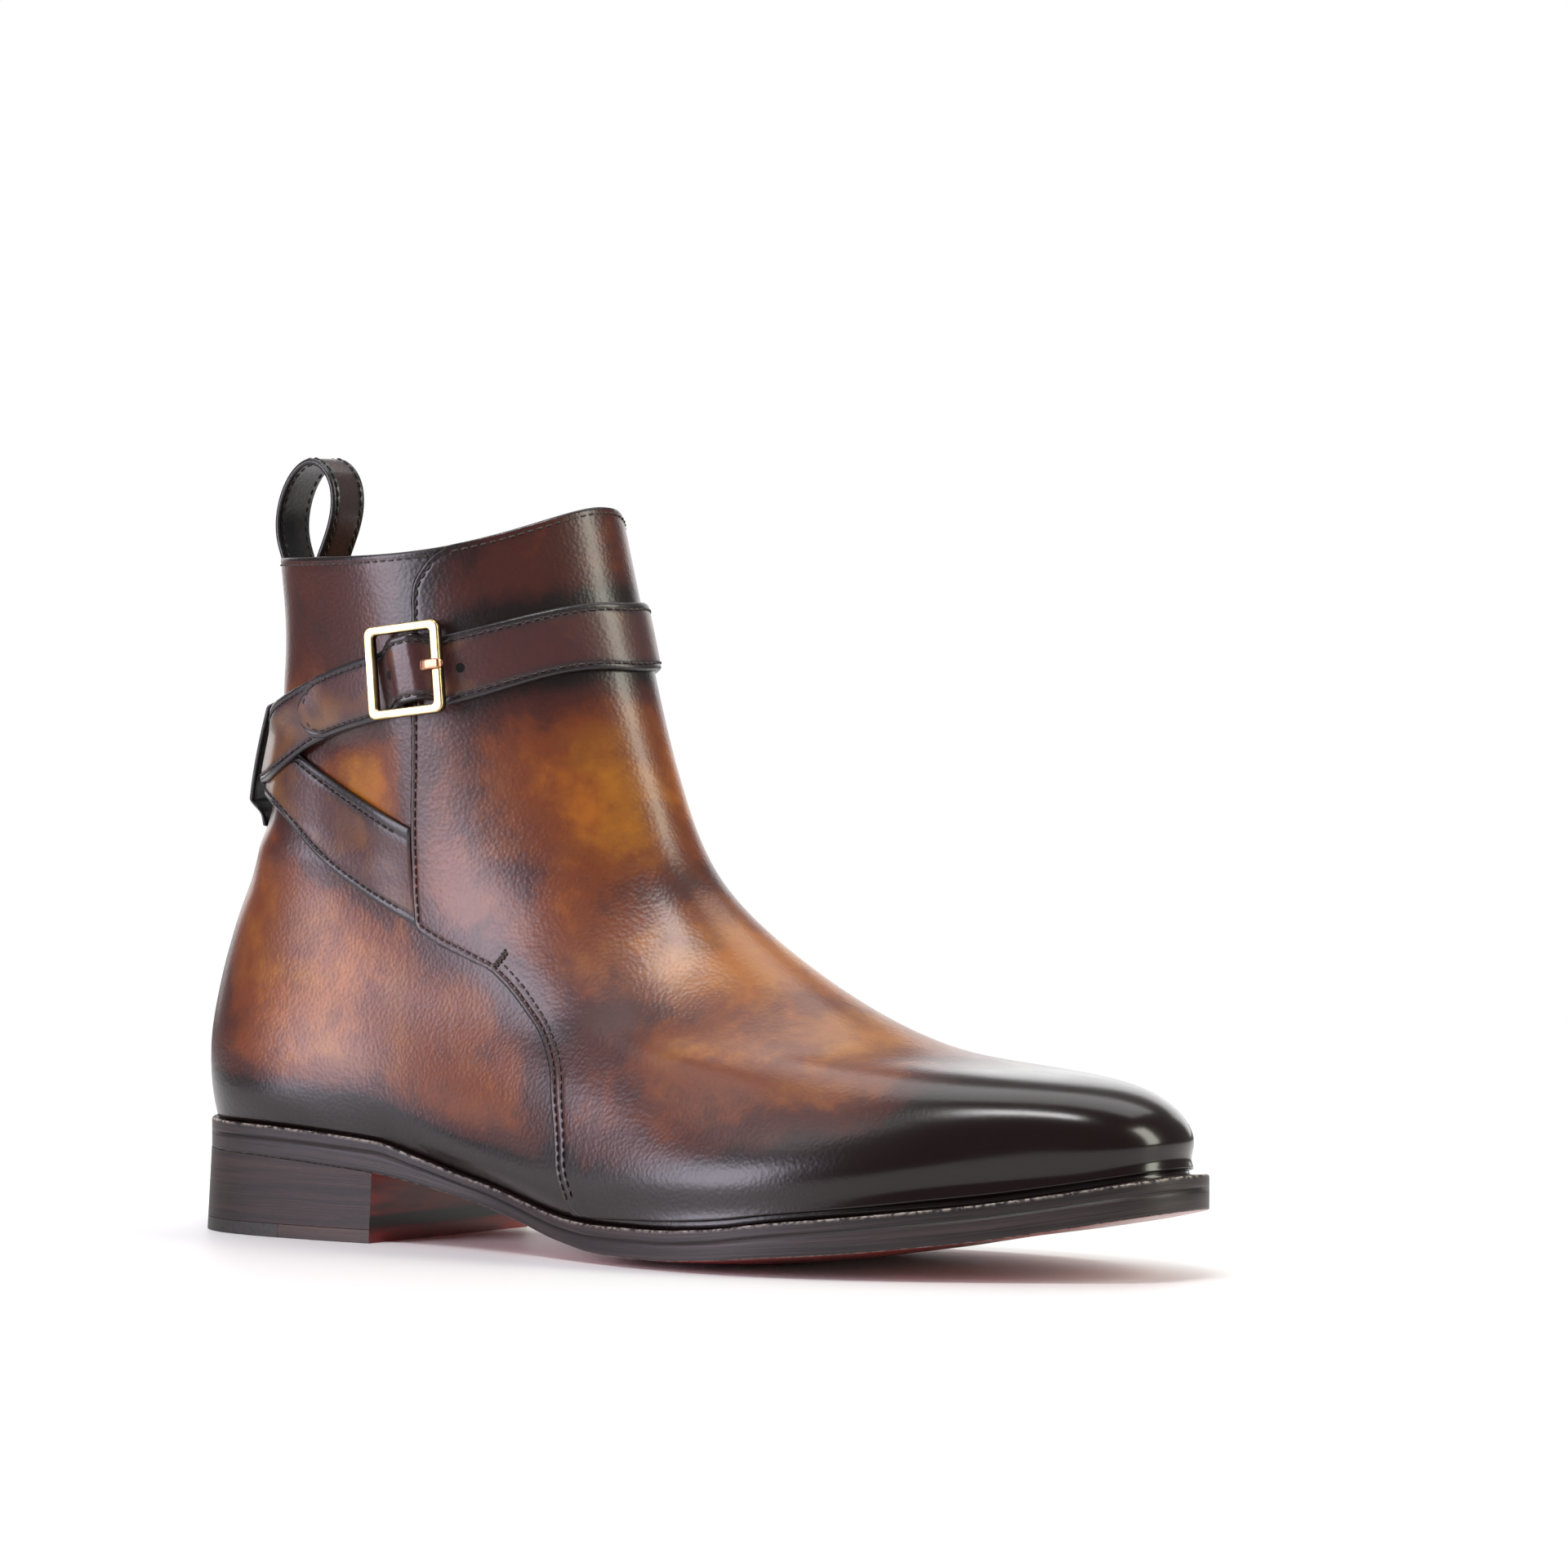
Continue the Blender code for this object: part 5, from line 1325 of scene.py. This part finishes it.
def build_welt(pitch):
    """Welt: a closed section carried round the sole, its top edge wheeled in small ridges.

    Ridge height is 0.16 mm times |sin| of the run round the edge over the wheel's pitch."""
    t = np.linspace(0, TURN, 1500, endpoint=False)
    ox, oy = outline(t)
    run = length_along(np.stack([ox, oy], -1))
    whole = run[-1] + np.hypot(ox[0] - ox[-1], oy[0] - oy[-1])
    ridge = 0.16 * np.abs(np.sin(np.pi * round(whole / pitch) * run / whole))
    reach = inset(t) + WELT_REACH
    thick = welt_thick(ox)
    top = edge_top(ox)
    # each row: distance in from the outline, height, rim wear, height on the edge
    rows = [(reach * share, top - down, 0.0, thick + 2)
            for share, down in ((1.0, 0.0), (0.62, 0.0), (0.34, 0.02))]
    rows += [(away, top - down + (ridge - 0.08) * much, wear, thick - down) for away, down, much, wear in (
        (1.25, 0.22, 0.0, 0.0), (0.95, 0.06, 0.5, 0.5), (0.62, -0.08, 1.0, 0.9), (0.3, -0.04, 1.0, 1.0),
        (0.1, 0.14, 0.6, 0.8), (0.02, 0.4, 0.0, 0.25), (0.0, 0.8, 0.0, 0.0))]
    rows += [(0.0, top - thick * share, 0.0, thick * (1 - share)) for share in (0.5, 0.8, 1.0)]
    rows += [(reach, edge_top(inward(t, reach)[0]) - thick, 0.0, 0.0)]
    # heights on the welt's edge go on from the top of the outsole's edge
    under = EDGE_THICKNESS - WELT_THICK
    columns = [(*inward(t, away), z, wear, height + under) for away, z, wear, height in rows]
    grid, values, uv = carried(columns, run)
    make("wheeled_welt", grid, grid_quads(*grid.shape[:2], True, True), [finish_of("inked_sole_edge")],
         node="welt", slot="welt_leather", values=values, uv=uv)


def spine_fan(ring, share):
    """Points from a ring towards the sole's middle line: share 1 is the ring, 0 the line."""
    x = np.clip(ring[0], SPINE_BACK, SOLE_LENGTH - SPINE_TOE)
    y = middle(x)
    return x + (ring[0] - x) * share, y + (ring[1] - y) * share


def build_outsole():
    """Outsole: edge carried round the outline, underside dished towards the middle, painted red."""
    t = np.linspace(0, TURN, 720, endpoint=False)
    ring = outline(t)
    run = length_along(np.stack(ring, -1))
    low = edge_low(ring[0])
    thick = edge_top(ring[0]) - welt_thick(ring[0]) - 0.02 - low
    spine = spine_fan(ring, 0.0)
    half_width = np.hypot(ring[0] - spine[0], ring[1] - spine[1])
    columns = []
    for share in (0.0, 0.5, 0.9):
        x, y = spine_fan(ring, share)
        columns.append((x, y, edge_top(x) - welt_thick(x) - 0.02, 0.0, thick))
    for share in (1.0, 0.7, 0.4, 0.16):
        columns.append((*ring, low + thick * share, 0.0, thick * share))
    for away, rise, wear in ((0.03, 0.25, 0.0), (0.12, 0.08, 0.5), (0.32, 0.0, 0.8)):
        columns.append((*inward(t, away), low + rise, wear, rise))
    edge_columns = len(columns)
    for share in (0.96, 0.9, 0.82, 0.72, 0.6, 0.45, 0.3, 0.15, 0.0):
        x, y = spine_fan(ring, share)
        drop = fall(x) * np.clip(half_width / (0.3 * BALL_WIDTH), 0, 1) * (1 - 0.9 * smooth(x, 205, 258))
        lift = np.clip((share - 0.3) / 0.7, 0, 1) ** 1.6
        columns.append((x, y, np.maximum(edge_low(x) - drop * (1 - lift), 0.02), 0.0, 0.0))
    grid, values, uv = carried(columns, run)
    n, k = grid.shape[:2]
    under = np.tile(np.arange(k - 1), n) >= edge_columns - 1
    make("red_outsole", grid, grid_quads(n, k, ring_rows=True),
         [finish_of("inked_sole_edge"), finish_of("red_lacquer")], node="outsole", slot="sole_leather",
         values=values, uv=uv, faces_of=under.astype(int), merge=True)


def build_sock():
    """Insole board under the foot: a thin slab inside the welt."""
    t = np.linspace(0, TURN, 240, endpoint=False)
    ring = inward(t, inset(t) + WELT_REACH + INSOLE_GAP)
    columns = []
    for share, top in ((0.0, 0), (0.5, 0), (1.0, 0), (1.0, 1), (0.98, 1), (0.7, 1), (0.4, 1), (0.0, 1)):
        x, y = spine_fan(ring, share)
        z = edge_top(x) + INSOLE_RISE if top else edge_top(x) - welt_thick(x)
        columns.append(np.stack([x, y, z], -1))
    grid = np.stack(columns, 1)
    make("sock_board", grid, grid_quads(*grid.shape[:2], ring_rows=True), [finish_of("lining_leather")],
         node="insole", slot="insole_leather", merge=True)


def heel_wall(name, x0, x1, z0, z1, materials, node_name, slot):
    """Heel block from station x0 to x1: its wall follows the sole and leans out a little towards the floor."""
    a0, a1 = (np.arccos(1 - x / (SOLE_LENGTH / 2.0)) for x in (x0, x1))
    side = np.linspace(a1, a0, 90)
    is_stack = z1 == STACK_TOP
    heights = np.linspace(0, 1, 22) if is_stack else (0.0, 0.03, 0.1, 0.25, 0.5, 0.75, 0.9, 0.97, 1.0)
    f = np.linspace(0, 1, 26)[1:-1, None]
    loops = []
    uvs = []
    for h in heights:
        zc = z0 + (min(z1, FLARE_TOP) - z0) * h
        # the edges of the top piece are rounded in by 0.22 mm
        flare = HEEL_FLARE * (1 - zc / STACK_TOP) - 0.22 * ((h < 0.02) + (h > 0.98)) * (not is_stack)
        outer, inner = (np.stack(inward(turn, -flare), -1) for turn in (side, TURN - side[::-1]))
        outer[0, 0] = inner[-1, 0] = x1
        front = inner[-1] * (1 - f) + outer[0] * f
        if x0 > 0:
            outer[-1, 0] = inner[0, 0] = x0
            back = outer[-1] * (1 - f) + inner[0] * f
            loop = np.concatenate([outer, back, inner, front])
        else:
            loop = np.concatenate([outer, inner[1:], front])
        top = edge_low(loop[:, 0]) - 0.03 if is_stack else np.full(len(loop), z1)
        z = z0 + (top - z0) * h
        loops.append(np.concatenate([loop, z[:, None]], -1))
        uvs.append(np.stack([length_along(loop), z], -1))
    grid = np.array(loops)
    n, k = grid.shape[:2]
    is_front = np.tile(np.arange(k), n - 1) >= k - 25
    caps = [tuple(range(k)), tuple(range((n - 1) * k, n * k))[::-1]]
    ob = make(name, grid, grid_quads(n, k, ring_cols=True), materials, caps=caps, node=node_name, slot=slot,
              values={"rim": 0.0}, uv=uvs, faces_of=is_front.astype(int) if len(materials) > 1 else None)
    sharp = ob.modifiers.new("edges", "EDGE_SPLIT")
    sharp.split_angle = np.radians(50)


def build_heel():
    """Heel: stacked lifts, red breast, top piece of rubber behind and leather in front."""
    breast = finish_of("red_breast")
    heel_wall("stacked_heel", 0, HEEL_BREAST, TOP_LIFT + 0.04, STACK_TOP, [finish_of("inked_heel"), breast],
              "heel_stack", "heel_leather")
    heel_wall("rubber_tread", 0, TOP_LIFT_JOINT, 0.0, TOP_LIFT, [finish_of("heel_rubber_skin")],
              "heel_rubber", "heel_rubber")
    heel_wall("leather_tread", TOP_LIFT_JOINT + 0.1, HEEL_BREAST, 0.0, TOP_LIFT,
              [finish_of("waxed_top_piece"), breast], "heel_top_piece", "top_lift_leather")


def placed(name, data):
    """A new object with its data, in the scene."""
    ob = bpy.data.objects.new(name, data)
    bpy.context.scene.collection.objects.link(ob)
    return ob


def build_stage():
    """Pale floor, soft lights, a bright surround for the camera and a long lens at the boot's side."""
    s = 1.5
    mesh = bpy.data.meshes.new("studio_floor")
    mesh.from_pydata([(-s, -s, 0), (s, -s, 0), (s, s, 0), (-s, s, 0)], [], [(0, 1, 2, 3)])
    floor = placed("studio_floor", mesh)
    m, tree, shader, place = blank("floor_paper")
    # the paper fades into the bright surround between 0.45 and 1.1 m from the boot
    far = node(tree, "ShaderNodeVectorMath", {0: place}, operation="LENGTH").outputs["Value"]
    alpha = node(tree, "ShaderNodeMapRange", {"Value": far, "From Min": 0.45, "From Max": 1.1, "To Min": 1.0,
                                              "To Max": 0.0}, interpolation_type="SMOOTHSTEP").outputs[0]
    put(tree, shader, {"Base Color": (*hue("#F4F3F4"), 1), "Roughness": 0.5, "Alpha": alpha})
    mesh.materials.append(m)
    target = np.array([0.125, 0.0, 0.08])
    for name, azimuth, elevation, distance, width, height, watts, colour in LIGHTS:
        light = bpy.data.lights.new(name, "AREA")
        light.shape = "RECTANGLE"
        light.size = width
        light.size_y = height
        light.energy = watts
        light.color = hue(colour)
        ob = placed(name, light)
        a, e = np.radians([azimuth, elevation])
        way = np.array([np.cos(a) * np.cos(e), np.sin(a) * np.cos(e), np.sin(e)])
        ob.location = target + way * distance
        ob.rotation_euler = (np.pi / 2 - e, 0, a + np.pi / 2)
    world = bpy.data.worlds.new("studio")
    world.use_nodes = True
    tree = world.node_tree
    tree.nodes.clear()
    seen = node(tree, "ShaderNodeBackground", {"Color": (1, 1, 1, 1), "Strength": 1.0}).outputs[0]
    room = node(tree, "ShaderNodeBackground", {"Color": (*hue("#E9E6E8"), 1), "Strength": 0.22}).outputs[0]
    ray = node(tree, "ShaderNodeLightPath").outputs["Is Camera Ray"]
    mix = node(tree, "ShaderNodeMixShader", {0: ray, 1: room, 2: seen}).outputs[0]
    node(tree, "ShaderNodeOutputWorld", {0: mix})
    bpy.context.scene.world = world
    camera = bpy.data.cameras.new("photo_camera")
    turn = np.radians(CAMERA_TURN)
    camera.lens = PHOTO_LENS / PHOTO_PIXELS * SENSOR
    camera.sensor_width = SENSOR
    camera.shift_x = (PHOTO_PIXELS / 2 - PHOTO_AHEAD[0]) / PHOTO_PIXELS
    camera.shift_y = (PHOTO_AHEAD[1] - PHOTO_PIXELS / 2) / PHOTO_PIXELS
    camera.clip_end = 20
    ob = placed("photo_camera", camera)
    x = CAMERA_POINT[0] - ORIGIN_X * MM
    ob.location = (x + CAMERA_AWAY * np.sin(turn), -CAMERA_AWAY * np.cos(turn), CAMERA_POINT[1])
    ob.rotation_euler = (np.pi / 2, 0, turn)
    bpy.context.scene.camera = ob
    bpy.context.scene.view_settings.view_transform = "Standard"


# Add-on

class BootSizes(bpy.types.PropertyGroup):
    """Sizes a maker would change."""
    stitch_pitch: bpy.props.FloatProperty(name="Stitch pitch", description="From one stitch to the next",
                                          default=0.0025, unit="LENGTH")
    stitch_length: bpy.props.FloatProperty(name="Stitch length", description="Thread seen in each stitch",
                                           default=0.0020, unit="LENGTH")
    thread_width: bpy.props.FloatProperty(name="Thread width", description="Thickness of the thread",
                                          default=0.00055, unit="LENGTH")
    wheel_pitch: bpy.props.FloatProperty(name="Wheel pitch", default=0.0014, unit="LENGTH",
                                         description="From one ridge of the welt to the next")


def swatch(name, description, code):
    """A colour of the panel, its default given as sRGB hex."""
    return bpy.props.FloatVectorProperty(name=name, description=description, subtype="COLOR", size=3, min=0.0,
                                         max=1.0, default=hue(code))


class BootColours(bpy.types.PropertyGroup):
    """Colours a maker would change."""
    calf_ochre: swatch("Ochre calf", "Calf where the dye is thinnest", "#BA8222")
    calf_tan: swatch("Tan calf", "Calf under one coat of dye", "#9A581A")
    calf_brown: swatch("Brown calf", "Calf under two coats of dye", "#6A3317")
    calf_dark: swatch("Dark calf", "Calf beside the rubbed places", "#401C16")
    calf_black: swatch("Rubbed calf", "Calf where it is rubbed almost black", "#160A0A")
    strap_light: swatch("Light strap", "Straps where they are lightest", "#723828")
    strap_brown: swatch("Brown strap", "Straps along their middle", "#482624")
    sole_edge: swatch("Sole edge", "Inked edge of welt and sole", "#3E3232")
    heel: swatch("Heel", "Inked side of the heel", "#3A2925")
    underside: swatch("Underside", "Lacquer under the sole", "#A8281A")
    brass: swatch("Brass", "Frame of the buckle", "#DCC898")
    prong: swatch("Prong", "Prong of the buckle", "#C89478")
    thread: swatch("Thread", "Waxed thread of the stitches", "#1B1516")


def thread_sizes(context):
    """Stitch pitch, length and thread width in millimetres."""
    s = context.scene.boot_sizes
    return s.stitch_pitch / MM, s.stitch_length / MM, s.thread_width / MM


class BOOT_OT_upper(bpy.types.Operator):
    """Build the quarters, lining and front panel"""
    bl_idname = "boot.upper"
    bl_label = "Upper"

    def execute(self, context):
        build_quarters()
        build_front()
        build_seam_stitches(thread_sizes(context))
        return {"FINISHED"}


class BOOT_OT_straps(bpy.types.Operator):
    """Build the straps, their stitches and holes"""
    bl_idname = "boot.straps"
    bl_label = "Straps"

    def execute(self, context):
        build_straps(thread_sizes(context))
        return {"FINISHED"}


class BOOT_OT_back(bpy.types.Operator):
    """Build the back stay, keeper and pull loop"""
    bl_idname = "boot.back"
    bl_label = "Back and loop"

    def execute(self, context):
        build_back()
        build_back_stitches(thread_sizes(context))
        build_loop(thread_sizes(context))
        return {"FINISHED"}


class BOOT_OT_buckle(bpy.types.Operator):
    """Build the buckle"""
    bl_idname = "boot.buckle"
    bl_label = "Buckle"

    def execute(self, context):
        build_buckle()
        return {"FINISHED"}


class BOOT_OT_sole(bpy.types.Operator):
    """Build the welt, outsole, insole and heel"""
    bl_idname = "boot.sole"
    bl_label = "Sole and heel"

    def execute(self, context):
        build_welt(context.scene.boot_sizes.wheel_pitch / MM)
        build_outsole()
        build_sock()
        build_heel()
        return {"FINISHED"}


class BOOT_OT_stage(bpy.types.Operator):
    """Build the floor, lights and camera"""
    bl_idname = "boot.stage"
    bl_label = "Stage"

    def execute(self, context):
        build_stage()
        return {"FINISHED"}


STEPS = ("upper", "straps", "back", "buckle", "sole", "stage")


class BOOT_PT_panel(bpy.types.Panel):
    """Sizes, colours and steps of the boot"""
    bl_idname = "BOOT_PT_panel"
    bl_label = "Jodhpur boot"
    bl_space_type = "VIEW_3D"
    bl_region_type = "UI"
    bl_category = "Boot"

    def draw(self, context):
        scene = context.scene
        for group, values in ((BootSizes, scene.boot_sizes), (BootColours, scene.boot_colours)):
            for key in group.__annotations__:
                self.layout.prop(values, key)
        for step in STEPS:
            self.layout.operator("boot." + step)


CLASSES = (BootSizes, BootColours, BOOT_OT_upper, BOOT_OT_straps, BOOT_OT_back, BOOT_OT_buckle,
           BOOT_OT_sole, BOOT_OT_stage, BOOT_PT_panel)


def register():
    """Adds the classes and the scene's own sizes and colours."""
    for one in CLASSES:
        bpy.utils.register_class(one)
    bpy.types.Scene.boot_sizes = bpy.props.PointerProperty(type=BootSizes)
    bpy.types.Scene.boot_colours = bpy.props.PointerProperty(type=BootColours)


def unregister():
    """Removes what register added."""
    del bpy.types.Scene.boot_colours
    del bpy.types.Scene.boot_sizes
    for one in reversed(CLASSES):
        bpy.utils.unregister_class(one)


def main():
    register()
    for step in STEPS:
        getattr(bpy.ops.boot, step)()


if __name__ == "__main__":
    main()
